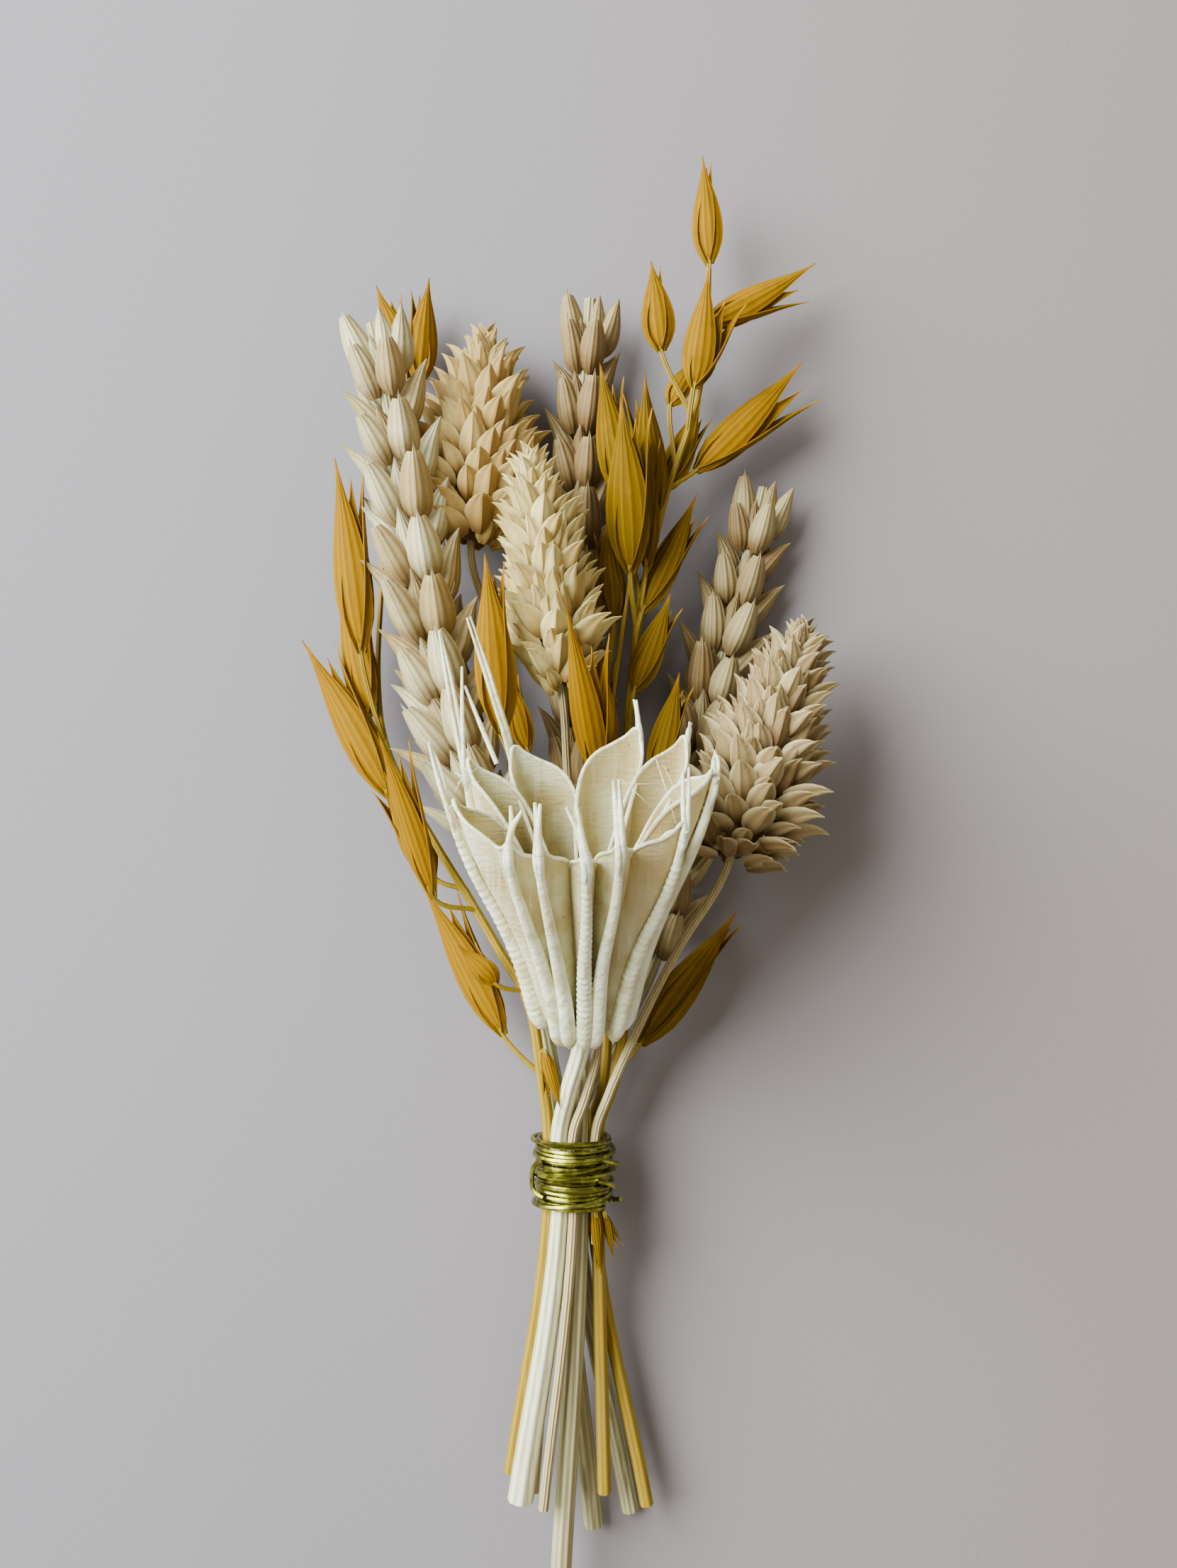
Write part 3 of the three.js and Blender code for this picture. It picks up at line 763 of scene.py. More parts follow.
# The upright scales that close a head's tip: how many, and the turn from one to the next in
# radians. Then the first one's tilt and how much more each next one tilts, in degrees, and
# their width, length and depth beside a scale's.
TUFT_SCALES, TUFT_TURN = 7, 2.4
TUFT_TILT, TUFT_OPENING = 3.0, 4.0
TUFT_SIZE = (0.7, 0.78, 0.5)
GRASS_RADII = (0.72, 0.55)

# Each head: its node, the stem's cut end, where it crosses the tie and its way above it, the
# head's base and tip, its width, how many scales it has, how far they lean at the base, the
# middle and the tip in degrees, a scale's width and length, the seed and the finish.
CANARY = (
    ("canary_back", (-5.6, -47, 6.6), (-2.49, 5.17),
     [(-3.9, 12, 4.2), (-5.8, 22, 3.2), (-8, 45, 3.2), (-9.8, 64, 4.4), (-12.4, 80, 6.6)],
     (-14.6, 88, 7.6), (-12.2, 122.5, 7.6), 17.6, 175, (48, 25, 10), (4.3, 7.4), 5, "canary_tan"),
    ("canary_centre", (-4.1, -47.5, 11), (0.17, 11.77),
     [(1.8, 11, 11.9), (3.7, 19, 10.8), (2.8, 30, 10.2), (0.8, 42, 10.3), (-0.6, 56, 11.6)],
     (-1.2, 66.5, 15.5), (-6.1, 103, 20.5), 13.2, 180, (38, 24, 12), (3.6, 6.3), 7, "canary_pale"),
    ("canary_right", (3.4, -10, 10.04), (3.38, 10.04),
     [(5, 11, 11.2), (8.8, 20, 12.6), (14.6, 32, 14.6)],
     (21.1, 43, 16.6), (33.2, 79.5, 14), 17.0, 230, (72, 28, 12), (3.7, 6.0), 9, "canary_bud"),
)


def canary_shapes():
    keeled = blade(
        "keeled_scale", (0.48, 0.87, 1.0, 0.98, 0.88, 0.68, 0.4, 0.04),
        (0.0, 0.12, 0.19, 0.2, 0.18, 0.16, 0.18, 0.28), cup=0.6, columns=4)
    return {"keeled": keeled}


def between(values, share):
    """A value read off evenly spaced ones."""
    reach = min(max(share, 0.0), 1.0) * (len(values) - 1)
    low = min(int(reach), len(values) - 2)
    return values[low] + (values[low + 1] - values[low]) * (reach - low)


def root_reach(width, lean, scale):
    """How far from the head's middle its scales grow."""
    return width / 2.0 - scale[1] * sin(radians(lean[1]))


def canary_head(name, base, top, width, count, lean, scale, seed, shape):
    """An egg of keeled scales that overlap like tiles, closed by a tuft at the tip."""
    rng = random.Random(seed)
    axis = top - base
    length = axis.length / MM
    along = axis.normalized()
    side, face = sideways(along)
    wide, long = scale
    scales = []
    for i in range(count):
        share = (i + 0.5) / count
        angle = i * GOLDEN_TURN + rng.uniform(-TURN_STRAY, TURN_STRAY)
        height = 0.03 + (0.97 - long * 0.9 / length) * share
        belly = between(EGG, share)
        radius = root_reach(width, lean, scale) * belly
        outward = turned(side, face * FLATTENED, angle).normalized()
        root = base + along * (length * height * MM) + outward * (radius * MM)
        early, late = max(0.0, 1.0 - 2.6 * share), max(0.0, 1.6 * share - 0.6)
        tilt = lean[1] + (lean[0] - lean[1]) * early + (lean[2] - lean[1]) * late
        tilt = radians(tilt + rng.uniform(-TILT_STRAY, TILT_STRAY))
        direction = turned(along, outward, tilt) + side * rng.uniform(-SIDE_STRAY, SIDE_STRAY)
        size = rng.uniform(SMALLEST_SCALE, LARGEST_SCALE) * (0.6 + 0.42 * belly)
        bulge = (wide * size, long * size, wide * SCALE_DEPTH * size)
        back = turned(outward, -along, tilt)
        scales.append(grow(shape, root, direction, back, bulge, rng.random()))
    for i in range(TUFT_SCALES):
        angle = TUFT_TURN * i
        outward = turned(side, face, angle)
        tilt = radians(TUFT_TILT + TUFT_OPENING * i)
        root = top - along * ((long * 0.85 + 0.35 * i) * MM) + outward * ((0.25 + 0.12 * i) * MM)
        bulge = (wide * TUFT_SIZE[0], long * TUFT_SIZE[1], wide * TUFT_SIZE[2])
        direction, back = turned(along, outward, tilt), turned(outward, -along, tilt)
        scales.append(grow(shape, root, direction, back, bulge, 0.15 * i))
    head = joined(name + "_head", scales)
    thickened(head, 0.14)
    return head


def canary_core(name, base, top, reach):
    """The dense middle of the head behind the scales."""
    nothing_selected()
    half = (top - base).length * CORE_HALF
    bpy.ops.mesh.primitive_uv_sphere_add(segments=16, ring_count=10, radius=1.0)
    core = bpy.context.object
    core.name = name + "_core"
    bpy.ops.object.mode_set(mode="EDIT")
    bpy.ops.mesh.select_all(action="SELECT")
    bpy.ops.transform.resize(value=(reach * MM, reach * FLATTENED * MM, half))
    bpy.ops.object.mode_set(mode="OBJECT")
    turn = (top - base).to_track_quat("Z", "Y").to_matrix().to_4x4()
    core.data.transform(Matrix.Translation(base.lerp(top, CORE_CENTRE)) @ turn)
    return core


def canary(stem, shapes, finishes):
    name, cut_end, in_tie, above, low, high, width, count, lean, scale, seed, kind = stem
    base, top = at(*low), at(*high)
    scales = canary_head(name, base, top, width, count, lean, scale, seed, shapes["keeled"])
    core = canary_core(name, base, top, root_reach(width, lean, scale) - CORE_INSIDE)
    slot = "canary_tan" if kind == "canary_tan" else "canary_pale"
    finish_piece(scales, name, finishes[kind], angle=40.0)
    finish_piece(core, name, finishes["canary_core"])
    inside = base.lerp(top, 0.15)
    points = stem_points(cut_end, in_tie, above) + [base, inside]
    straw = stalk(name + "_stem", points, tapered(len(points), *GRASS_RADII))
    finish_piece(straw, name, finishes["canary_stem"])


# ------------ oats

# Spikelets past this length of the bouquet lie out of its shade and keep this share of their painted
# shade.
LIT_BEYOND, LIT_SHADE_SHARE = 98.0, 0.35
# How much a husk is bruised at most, and how far into its spikelet a branch runs.
BRUISE, BRANCH_END = 0.4, 0.12
BRANCH_RADII = (0.38, 0.3)

# Each panicle: its node, how much painted shade darkens it, the seed, the main stem's cut end,
# where it crosses the tie, its way above it and its radius at both ends. Then the thinner stalks,
# with a radius at both ends, and the spikelets: base, tip, width, the branch that carries it, the
# angle at which it forks in degrees, and how long its second husk is beside the first.
OATS = (
    ("oats_left", 0.0, 41, (-9, -44.2, 6.2), (-3.44, 8.94),
     [(-4.4, 14, 9.9), (-6.4, 24.7, 10.4), (-10.4, 31.8, 10.4), (-15.4, 40.4, 10.2)], 1.0, 0.6, [
      ([(-14.6, 39, 10.2), (-19.8, 47.4, 10), (-24.1, 55, 9), (-26.8, 61.1, 8), (-28.2, 68, 5.4),
          (-28.2, 82, 3.4), (-26.4, 102.8, 3.4), (-24.4, 112, 4.4)], 0.6, 0.35),
     ], [
      ((-29.8, 73.8, 12), (-32.4, 101.1, 14), 5.8, [(-27, 61.5, 8), (-28.6, 67, 9.6)], 6, 0.96),
      ((-29.2, 65, 8), (-33.2, 86.7, 7), 5.0, [(-26.8, 61.1, 8)], 8, 0.9),
      ((-26, 53.5, 10), (-38.1, 76.4, 8), 5.6, [(-19.8, 47.4, 10)], 7, 0.92),
      ((-19.4, 39.4, 14), (-25.8, 62.8, 19.2), 4.0, [(-13.6, 37.5, 10.4)], 7, 0.92),
      ((-19.8, 42.1, 9.6), (-27.2, 57, 11), 5.0, [(-15.4, 40.4, 10.2)], -8, 0.9),
      ((-9.9, 19.4, 9), (-21, 41.3, 7), 5.2, [(-4.6, 14, 9.9)], 8, 0.9),
      ((-10.6, 27.2, 13), (-15.6, 33.2, 14.4), 3.8, [(-6.8, 26, 10.4)], 12, 0.85),
      ((-3.9, 17.8, 12.2), (-2.0, 9.6, 13.2), 2.0, [(-4.3, 14.4, 10.4)], 14, 0.8),
      ((-24.2, 114, 4.6), (-28, 128.1, 5), 5.0, [(-24.8, 111, 4.2)], 10, 0.9),
      ((-22.4, 113.6, 5), (-21.3, 128.8, 6), 4.6, [(-24.8, 111, 4.2)], -8, 0.9),
     ]),
    ("oats_right", 0.95, 43, (4.6, -46.6, 7.6), (3.68, 8.05),
     [(6, 13, 9.2), (7.5, 24, 9.9), (7.5, 44, 10.2), (7.9, 62.1, 9.6), (8.6, 72.2, 9.8)],
     1.0, 0.62, [
      ([(8.5, 71, 9.8), (9.8, 81.3, 10), (11.8, 90.3, 10), (13.6, 97.4, 10), (16.4, 105.5, 10),
          (17.9, 110.5, 10), (19.2, 119.6, 10), (19.5, 128.8, 9.6)], 0.62, 0.35),
      ([(7.3, 44, 10.4), (5.6, 52, 11.8), (5.3, 63, 12.4), (6.9, 76, 11.8), (8.5, 86, 11.4)],
         0.5, 0.3),
      ([(7.3, 42, 10.4), (4.9, 52, 12.0), (4.2, 61, 12.4), (4.9, 70, 12.0), (5.9, 78.4, 11.6)],
         0.45, 0.3),
     ], [
      ((19.5, 129.6, 9.5), (18.9, 145, 9), 4.6, [(19.4, 127.4, 9.6)], 3, 0.97),
      ((12.6, 116.7, 11), (11.4, 129.2, 12), 5.0, [(16.9, 108, 10)], 4, 0.95),
      ((18.8, 120.8, 10), (35.2, 129, 9), 4.6, [(19.2, 119.6, 10)], 12, 0.85),
      ((17.1, 111.2, 12), (20.3, 127.1, 14), 4.8, [(16.4, 105.5, 10)], 20, 0.85),
      ((14, 109.8, 8), (18, 117.1, 7), 3.8, [(14.6, 101, 10)], 8, 0.9),
      ((17.6, 100.3, 8.5), (34, 115.6, 7), 5.2, [(13.6, 97.4, 10)], 12, 0.95),
      ((13.2, 97.3, 9), (19, 110.5, 7), 4.6, [(11.8, 90.3, 10)], 8, 0.9),
      ((8.1, 84.8, 14), (7.5, 108.5, 18), 6.4, [(9.2, 77, 9.9)], 8, 0.95),
      ((11.8, 93.3, 12.4), (9.5, 112.7, 14), 4.8, [(10.2, 83.5, 10)], -8, 0.9),
      ((6.5, 96.4, 10.8), (4.5, 114.8, 12), 4.6, [(9.8, 81.3, 10)], 8, 0.9),
      ((9.8, 79.6, 11), (18.3, 96.6, 8), 4.8, [(8.6, 72.2, 9.8)], 7, 0.92),
      ((8.7, 68.4, 11), (14.3, 82.1, 12), 4.6, [(8.1, 63, 9.6)], 7, 0.92),
      ((11.5, 55.6, 12.4), (15.5, 70.9, 13.4), 4.4, [(7.7, 50, 10.2)], 7, 0.92),
      ((9.6, 18.3, 9.6), (23.8, 37, 8.8), 5.6, [(6.2, 14, 9.3)], 3, 0.96),
      ((4.5, -5.4, 10.6), (6.3, -12.4, 10.0), 1.3, [(3.9, -6.6, 9.0)], -14, 0.8),
      ((3.3, -4.8, 11.3), (4.0, -14.6, 10.7), 1.9, [(3.7, -5.6, 9.0)], 3, 0.95),
      ((5.9, 78.2, 11.6), (4.5, 92.5, 12.4), 4.6, [(4.9, 70, 12.0)], -6, 0.9),
      ((10.4, 86, 12), (10.9, 104.5, 14.6), 3.8, [(9.2, 77, 10.4)], 4, 0.96),
     ]),
    ("oats_middle", 0.15, 47, (10.8, -49.5, 5), (2.81, 5.81),
     [(4.4, 12, 7.4), (5.1, 22, 8.8), (5.2, 36, 10.2), (4.6, 48, 11.4)], 1.0, 0.5, [], [
      ((-9.8, 62.3, 18), (-10.9, 85.9, 26.4), 6.2, [(4.6, 42, 11.2), (-2.4, 51, 13)], 4, 0.95),
      ((-6.3, 60, 11.5), (-9.4, 72, 11), 3.8, [(4.6, 42, 11.2), (-2.4, 51, 13)], 6, 0.9),
      ((3.6, 56, 13.4), (0.4, 79, 28), 4.6, [(4.5, 46, 11.3)], 10, 0.82),
      ((4.8, 58, 11.8), (4.3, 74, 14), 4.2, [(4.4, 47, 11.4)], 6, 0.9),
     ]),
)


def oat_shapes():
    glume = blade(
        "oat_glume", (0.26, 0.66, 0.92, 1.0, 0.98, 0.88, 0.72, 0.52, 0.3, 0.13, 0.02),
        (0.0, 0.14, 0.24, 0.28, 0.28, 0.25, 0.2, 0.14, 0.1, 0.08, 0.1),
        cup=0.3, columns=10, furrow=0.007)
    return {"glume": glume}


def oat_spikelet(base, tip, width, fork, share, painted_shade, rng, shape):
    """Two glumes that part towards the tip, the second shorter, with a narrow husk between."""
    axis = tip - base
    length = axis.length / MM
    along = axis.normalized()
    side, face = sideways(along)
    hand = copysign(1.0, fork)

    def parted(part):
        return turned(along, side, radians(fork) * part)

    # A husk's tone: the panicle's painted shade and a random bruise.
    def shade_and_bruise():
        return painted_shade + rng.uniform(0.0, BRUISE)

    return [
        grow(shape, base, parted(-0.2), face - side * hand * 0.35,
             (width, length, width * 0.8), shade_and_bruise()),
        grow(shape, base - face * (0.5 * MM), parted(1.0), side * hand * 0.9 - face * 0.35,
             (width * 0.86, length * share, width * 0.72), shade_and_bruise()),
        grow(shape, base, parted(0.45), -face - side * hand * 0.3,
             (width * 0.8, length * share * 0.93, width * 0.66), shade_and_bruise()),
    ]


def oats(stem, shapes, finishes):
    name, painted_shade, seed, cut_end, in_tie, above, start, end, stalks, spikelets = stem
    rng = random.Random(seed)
    main = stem_points(cut_end, in_tie, above)
    branches = [stalk(name + "_stalk", main, tapered(len(main), start, end), 2)]
    for way, start, end in stalks:
        points = [at(*point) for point in way]
        branches.append(stalk(name + "_stalk", points, tapered(len(points), start, end), 2))
    husks = []
    for base, tip, width, branch, fork, share in spikelets:
        root, end = at(*base), at(*tip)
        # Spikelets beyond the rest of the bouquet get less painted shade.
        spikelet_shade = painted_shade * (LIT_SHADE_SHARE if base[1] > LIT_BEYOND else 1.0)
        husks += oat_spikelet(root, end, width, fork, share, spikelet_shade, rng, shapes["glume"])
        path = [at(*point) for point in branch] + [root, root.lerp(end, BRANCH_END)]
        branches.append(stalk(name + "_branch", path, tapered(len(path), *BRANCH_RADII), 1, 5))
    glumes = joined(name + "_husks", husks)
    thickened(glumes, 0.15)
    finish_piece(glumes, name, finishes["oats"], angle=65.0)
    stems = joined(name + "_stems", branches)
    finish_piece(stems, name, finishes["oat_stem"])


# ------------ the pod

POD_BASE = (1.5, 19.7, 13.6)
POD_RISE = radians(30.0)
POD_SQUASH = 0.78
POD_LENGTH = 36.5
# How far the keel stands from the pod's axis, from the bottom to the mouth: on the follicles
# that face up and to the sides, and on those that lie on the stems.
UPPER_REACH = (4.6, 5.8, 6.4, 7.0, 7.7, 8.6, 9.8, 11.2, 12.8, 14.3, 15.5, 16.4, 16.9)
LOWER_REACH = (1.6, 3.6, 4.5, 5.8, 7.2, 8.8, 10.7, 12.6, 14.3, 15.7, 16.6, 17.1, 17.3)
KEEL_HEIGHT = (2.4, 2.8, 4.2, 6.6, 9.9, 13.4, 16.9, 20.5, 24.0, 27.5, 30.8, 33.9, 36.5)
# How far the two walls stand apart at each of those heights.
WALL_SPREAD = (0.05, 0.55, 0.8, 0.9, 1.0, 1.0, 1.0, 1.0, 1.0, 1.0, 1.0, 1.0, 1.0)
# Where the lines of a wall run, from 0 on the keel to 1 at the pod's axis.
WALL_LINES = (0.0, 0.04, 0.11, 0.21, 0.34, 0.49, 0.65, 0.82, 1.0)
# Each follicle: its angle round the mouth with 90 facing up, its beak's tip, how far the beak's
# two lips part there, whether seeds show along its keel, and how long it is beside the others.
FOLLICLES = (
    (10, (18.5, 59.5, 32.0), 0.3, False, 1.16), (42, (14.3, 57.4, 40.0), 0.9, True, 1.06),
    (74, (5.6, 56.0, 46.0), 0.5, False, 1.05), (88, (0.3, 52.8, 46.0), 0.9, True, 1.02),
    (108, (-3.8, 53.2, 45.6), 0.5, False, 1.03), (122, (-6.4, 52.8, 44.0), 1.3, False, 1.02),
    (178, (-18.1, 60.8, 33.0), 0.4, True, 1.02), (208, (-17.4, 75.7, 26.0), 0.2, False, 1.08),
    (237, (-13.3, 77.2, 29.0), 0.4, False, 1.06), (296, (8.6, 66.8, 21.5), 0.3, False, 1.12),
    (322, (15.9, 63.6, 24.0), 0.3, False, 1.14),
)


# From which angle on a follicle lies on the stems, and the widest gap that the walls close.
LOWER_FROM, WIDEST_GAP = 200, 52
RIM_RADIUS = 0.27
# The keel's radius at its foot, how much of it is gone at the top, and how far the seeds swell
# it between two shares of its length.
KEEL_RADIUS, KEEL_NARROWING = 1.22, 0.74
BEAD_SWELL, BEADS_FROM, BEADS_TO = 0.095, 0.06, 0.86
# How high the keel starts, where its radius counts from, and its length from there.
KEEL_FOOT, KEEL_FROM, KEEL_LENGTH = 2.2, 2.6, 34.9
BEAK_RADII = (0.34, 0.38, 0.3, 0.15)
# The beaks between two angles face the viewer and are thicker.
THICK_FROM, THICK_TO, THICKER = 70, 125, 1.35
POD_STEM_RADII = (1.85, 1.3, 1.25, 1.25, 1.3, 1.4)


def pod_axes():
    """The directions across the pod, up its axis and out of its upper face."""
    side = Vector((1.0, 0.0, 0.0))
    along = Vector((0.0, cos(POD_RISE), sin(POD_RISE)))
    face = Vector((0.0, -sin(POD_RISE), cos(POD_RISE)))
    return side, along, face


def follicle_wall(reach):
    """Both walls of one follicle, folded along its keel. X goes across, Y up the pod's axis
    and Z outwards, in millimetres. Its width is that of a follicle which fills a half turn."""
    nothing_selected()
    half = len(WALL_LINES) - 1
    rows = len(reach) - 1
    bpy.ops.mesh.primitive_grid_add(x_subdivisions=2 * half, y_subdivisions=rows, size=1.0)
    wall = bpy.context.object
    wall.name = "follicle_wall"
    upright = lines_of(wall, 0)
    level = lines_of(wall, 1)
    bpy.ops.object.mode_set(mode="EDIT")
    for i, line in enumerate(upright):
        inward = WALL_LINES[abs(i - half)]
        hand = 1.0 if i > half else -1.0
        puff = 0.64 * sin(pi * inward ** 0.75)
        choose(wall, line)
        move(hand * puff - (i / (2 * half) - 0.5), 0.0, 0.0)
    for j, line in enumerate(level):
        choose(wall, line)
        width = max(reach[j], 0.5) * WALL_SPREAD[j]
        bpy.ops.transform.resize(value=(width, 1.0, 1.0), center_override=(0.0, 0.0, 0.0))
        move(0.0, KEEL_HEIGHT[j] - (j / rows - 0.5), reach[j] - 0.5)
    for i, line in enumerate(upright):
        inward = WALL_LINES[abs(i - half)]
        lobe = 0.09 * exp(-inward / 0.07) + 0.08 * sin(pi * min(1.0, inward * 1.5))
        top = 0.96 + lobe - 0.46 * inward ** 1.3
        bottom = 1.6 * inward
        choose(wall, line)
        size = (1.0, top - bottom / POD_LENGTH, 1.0 - 0.96 * inward)
        bpy.ops.transform.resize(value=size, center_override=(0.0, 0.0, 0.0))
        move(0.0, bottom, 0.0)
    bpy.ops.object.mode_set(mode="OBJECT")
    return wall


def spread_follicle(shape, to_left, to_right):
    """A copy whose left and right walls reach towards their neighbours."""
    copy = own_copy(shape)
    for vertex in copy.data.vertices:
        vertex.co.x *= to_left if vertex.co.x < 0.0 else to_right
    return copy


def follicle_rim(wall):
    """The thick pale lip that follows the wall's upper edge."""
    count = 2 * len(WALL_LINES) - 1
    top = sorted(wall.data.vertices, key=lambda v: v.index)[-count:]
    return stalk("follicle_rim", [v.co.copy() for v in top], [RIM_RADIUS] * count, 1, 3, 1.0)


def follicle_keel(reach, beaded):
    """The thick ridge along the keel, smooth or with the seeds showing through it, rounded off
    like a bulb at the bottom."""
    rng = random.Random(19)
    points = [Vector((0.0, KEEL_FOOT, reach[0] + 0.5))]
    radii = [0.25]
    steps = 121 if beaded else 25
    for i in range(steps):
        share = i / (steps - 1)
        height = KEEL_FROM + KEEL_LENGTH * share
        low = 0
        while low < len(KEEL_HEIGHT) - 2 and KEEL_HEIGHT[low + 1] < height:
            low += 1
        part = (height - KEEL_HEIGHT[low]) / (KEEL_HEIGHT[low + 1] - KEEL_HEIGHT[low])
        out = reach[low] + (reach[low + 1] - reach[low]) * part
        radius = KEEL_RADIUS - KEEL_NARROWING * share ** 1.2
        if beaded and BEADS_FROM < share < BEADS_TO:
            radius += BEAD_SWELL * sin(i * 1.7) * rng.uniform(0.2, 1.0)
        points.append(Vector((0.08 * sin(share * 11.0), height, max(out, reach[1]) - 0.1)))
        radii.append(radius * min(1.0, 0.72 + 9.0 * share))
    return stalk("follicle_keel", points, radii, 2, 2, 1.0)


def placed_on_pod(piece, angle, long):
    """Turns a follicle's part to its angle round the pod."""
    side, along, face = pod_axes()
    outward = side * cos(angle) + face * (sin(angle) * POD_SQUASH)
    across = -side * sin(angle) + face * (cos(angle) * POD_SQUASH)
    turn = Matrix((-across, along * long, outward)).transposed() * MM
    piece.data.transform(Matrix.Translation(at(*POD_BASE)) @ turn.to_4x4())
    return piece


def pod_beaks():
    """The beak of each follicle: its two lips run on side by side from the keel to the tip."""
    side, along, face = pod_axes()
    lips = []
    for angle, tip, gape, _, long in FOLLICLES:
        turn = radians(angle)
        outward = side * cos(turn) + face * (sin(turn) * POD_SQUASH)
        across = along.cross(outward).normalized()
        reach = UPPER_REACH if angle < LOWER_FROM else LOWER_REACH
        root = at(*POD_BASE) + (along * KEEL_HEIGHT[-2] * long + outward * reach[-2]) * MM
        top = at(*POD_BASE) + (along * POD_LENGTH * long + outward * (reach[-1] + 0.1)) * MM
        end = at(*tip)
        for hand in (-1.0, 1.0):
            bow = top.lerp(end, 0.45) + (along * 0.8 + outward * 0.3 * hand) * MM
            path = [
                root + across * (hand * 0.1 * MM), top + across * (hand * 0.22 * MM),
                bow + across * (hand * 0.2 * MM),
                end + (across * hand - along * 0.4) * (gape * 0.7 * MM),
            ]
            thick = THICKER if THICK_FROM < angle < THICK_TO else 1.0
            lips.append(stalk("beak_lip", path, [thick * radius for radius in BEAK_RADII], 1, 8))
    return lips


# Loose strands and torn fibres: where they start and end, how far they bow up, and how thick.
STRANDS = (
    ((-13.6, 57.5, 33.0), (-14.0, 70.5, 31.0), 1.0, 0.26),
    ((-9.4, 58.0, 33.0), (-13.6, 68.0, 31.5), 0.5, 0.3),
    ((6.2, 56.0, 44.0), (10.4, 52.2, 42.5), 0.9, 0.06),
    ((6.0, 55.4, 44.0), (11.8, 55.4, 41.5), 1.1, 0.06),
    ((10.6, 58.4, 40.6), (13.0, 50.6, 40.6), 1.4, 0.06),
    ((11.6, 57.6, 39.6), (14.2, 51.8, 39.8), 1.2, 0.05),
    ((-14.4, 55.4, 33.6), (-11.8, 57.4, 34.6), 1.8, 0.05),
    ((-14.8, 56.8, 33.4), (-11.4, 55.6, 34.4), 1.4, 0.05),
    ((-13.8, 57.6, 33.8), (-12.2, 54.8, 34.6), 1.6, 0.05),
    ((-14.6, 54.6, 33.4), (-12.6, 57.8, 34.8), 1.2, 0.05),
)


def loose_strands():
    strands = []
    for start, end, bow, radius in STRANDS:
        first, last = at(*start), at(*end)
        middle = first.lerp(last, 0.5) + UP * (bow * MM)
        radii = (radius, radius, radius * 0.6)
        strands.append(stalk("torn_fibre", [first, middle, last], radii, 1, 6))
    return strands


def pod(finishes):
    kinds = {}
    for upper, reach in ((True, UPPER_REACH), (False, LOWER_REACH)):
        kinds[upper] = follicle_wall(reach)
        for seeds in (True, False):
            kinds[upper, seeds] = follicle_keel(reach, seeds)
    walls = []
    ribs = pod_beaks() + loose_strands()
    for i, (angle, _, _, seeds, long) in enumerate(FOLLICLES):
        upper = angle < LOWER_FROM
        turn = radians(angle)
        before = (angle - FOLLICLES[i - 1][0]) % 360
        after = (FOLLICLES[(i + 1) % len(FOLLICLES)][0] - angle) % 360
        spread = [tan(radians(min(gap, WIDEST_GAP) / 2)) for gap in (after, before)]
        wall = spread_follicle(kinds[upper], *spread)
        ribs.append(placed_on_pod(follicle_rim(wall), turn, long))
        walls.append(placed_on_pod(wall, turn, long))
        ribs.append(placed_on_pod(spread_follicle(kinds[upper, seeds], 1.0, 1.0), turn, long))
    shell = joined("seed_pod_walls", walls)
    thickened(shell, 0.2)
    finish_piece(shell, "seed_pod", finishes["pod"], angle=60.0)
    edges = joined("seed_pod_ribs", ribs)
    finish_piece(edges, "seed_pod", finishes["pod_rib"], angle=60.0)
    for shape in kinds.values():
        bpy.data.objects.remove(shape)


def pod_stem(finishes):
    """A thick straw that runs up into the pod's foot."""
    points = stem_points((-7.4, -46.7, 9.8), (-1.78, 10.72), [(-0.5, 12, 12.2), POD_BASE])
    points.append(at(*POD_BASE) + pod_axes()[1] * (2.0 * MM))
    stem = stalk("seed_pod_stem", points, POD_STEM_RADII)
    finish_piece(stem, "seed_pod", finishes["pod_stem"])


# ------------ the tie

WIRE_RADIUS = 0.36
# The wire's way up and back: how many turns, from where to where, how far outside the first
# layer, and how much it strays.
WINDINGS = ((13, -4.8, 4.8, 0.0, 0.1), (6, 4.6, -4.4, 0.52, 0.55))
POINTS_A_TURN = 12
# The middle of the stems in the tie, across and up, and how far the first layer is from it.
TIE_MIDDLE = (0.1, 8.0)
TIE_REACH = (5.1, 5.05)
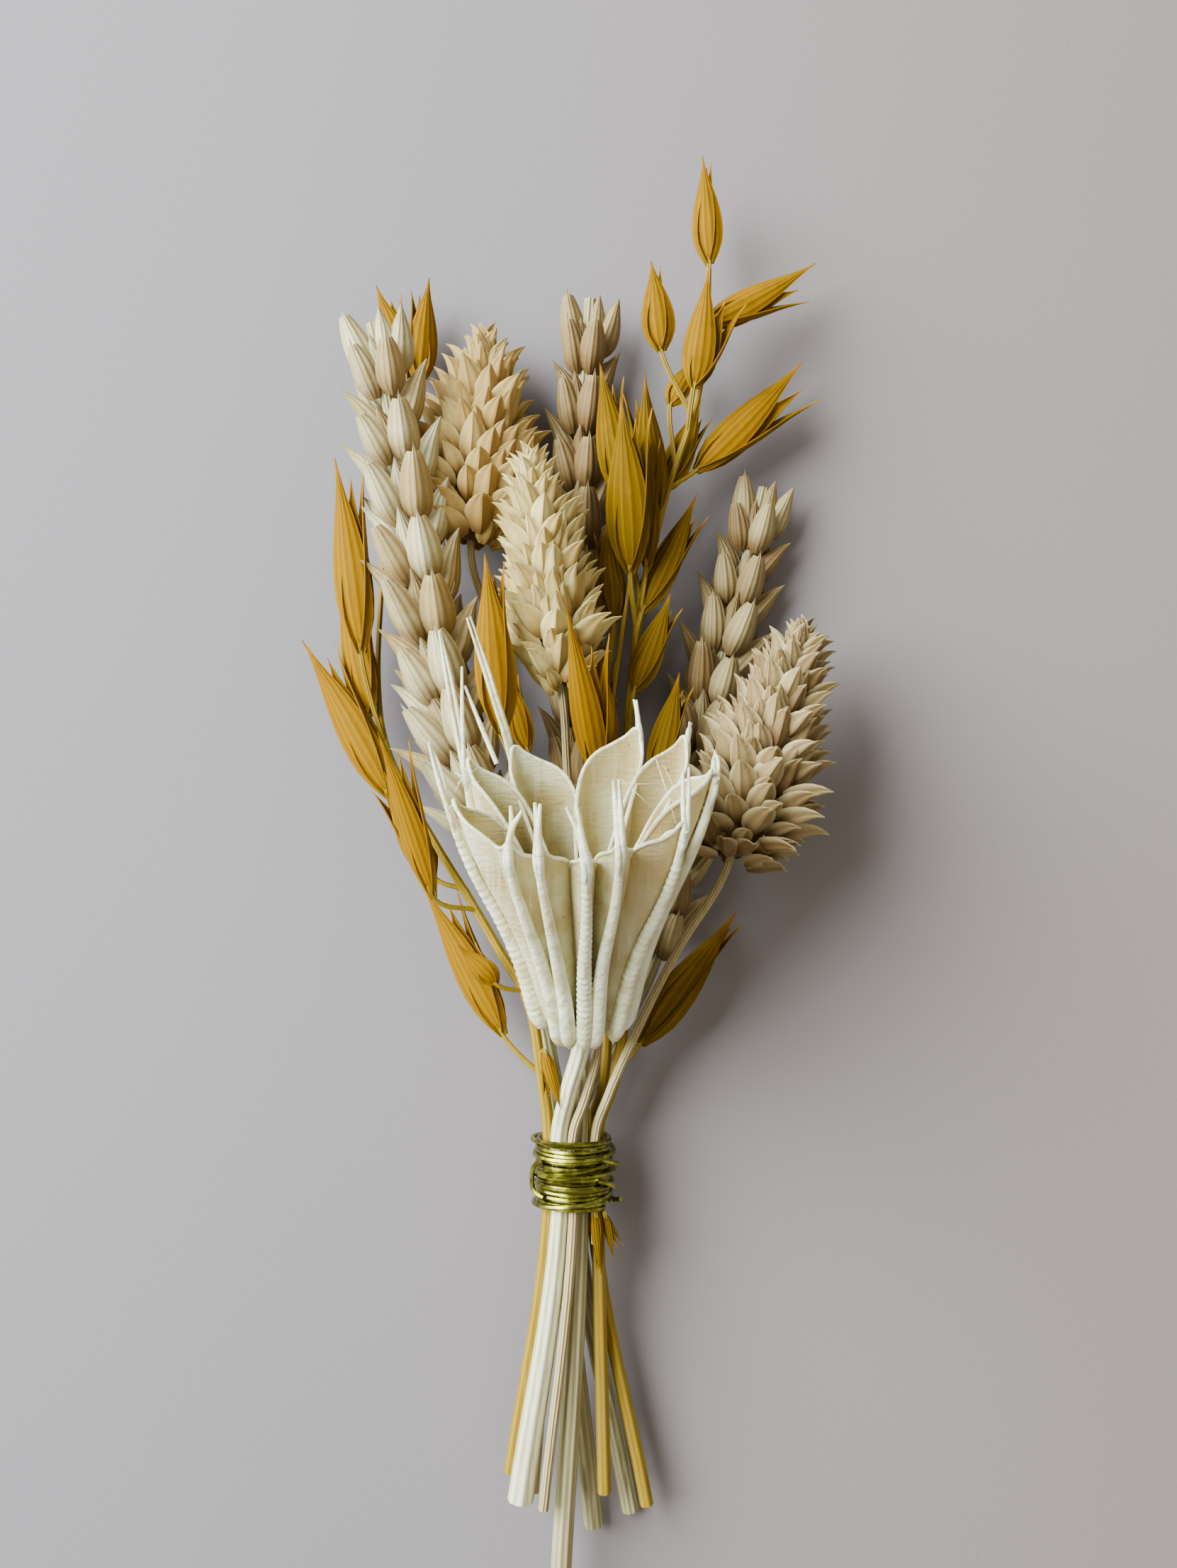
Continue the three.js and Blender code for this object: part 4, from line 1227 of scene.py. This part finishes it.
# The last turn's end tucked up, then the slack loop and the two bent ends.
TUCKED_END = (0.9, 0.4, 1.2)
LOOSE_WIRES = (
    ((-4.2, 2.2, 11.7), (-5.4, 1.3, 11.2), (-5.7, -0.5, 11.0), (-5.4, -2.2, 11.2),
     (-4.1, -3.0, 11.8)),
    ((3.4, 2.6, 12.2), (5.4, 1.9, 11.4), (6.5, 1.5, 10.8)),
    ((3.6, -0.6, 12.2), (5.2, -1.2, 11.4), (5.9, -1.7, 10.9)),
)


def wire_tie(finishes):
    """One wire wound close round the stems and back over its own turns, with a slack loop at
    the left and two bent ends at the right."""
    points = []
    for turns, start, end, outside, stray in WINDINGS:
        for i in range(1, turns * POINTS_A_TURN + 1):
            angle = i / POINTS_A_TURN * tau
            share = i / (turns * POINTS_A_TURN)
            sway = stray * (sin(angle * 0.5 + 7.0 * share) + 0.6 * sin(angle * 0.31))
            loose = outside + 0.5 * stray * sin(angle * 0.37)
            across = TIE_MIDDLE[0] + (TIE_REACH[0] + loose) * cos(angle)
            height = TIE_MIDDLE[1] + (TIE_REACH[1] + loose) * sin(angle)
            points.append(at(across, start + (end - start) * share + sway, height))
    points.append(points[-1] + Vector(TUCKED_END) * MM)
    wires = [stalk("wire_turns", points, [WIRE_RADIUS] * len(points), 1, 2)]
    for path in LOOSE_WIRES:
        way = [at(*point) for point in path]
        wires.append(stalk("wire_end", way, [WIRE_RADIUS] * len(way), 1, 5))
    wire = joined("wire_turns", wires)
    finish_piece(wire, "wire_tie", finishes["wire"])


# ------------ the whole bouquet

def add_stems(build, stems, shapes, finishes):
    """Builds each stem of a kind from its husk shapes, which then go."""
    for stem in stems:
        build(stem, shapes, finishes)
    for shape in shapes.values():
        bpy.data.objects.remove(shape)


def add_table():
    nothing_selected()
    bpy.ops.mesh.primitive_plane_add(size=TABLE_SIZE, location=(0.0, 0.0, 0.0))
    table = bpy.context.object
    table.name = "table_top"
    table.data.materials.append(table_finish())


finishes = make_finishes()
add_stems(wheat, WHEAT, wheat_shapes(), finishes)
add_stems(canary, CANARY, canary_shapes(), finishes)
add_stems(oats, OATS, oat_shapes(), finishes)
pod(finishes)
pod_stem(finishes)
wire_tie(finishes)
add_table()
add_camera()
add_window_light()
add_room_light()
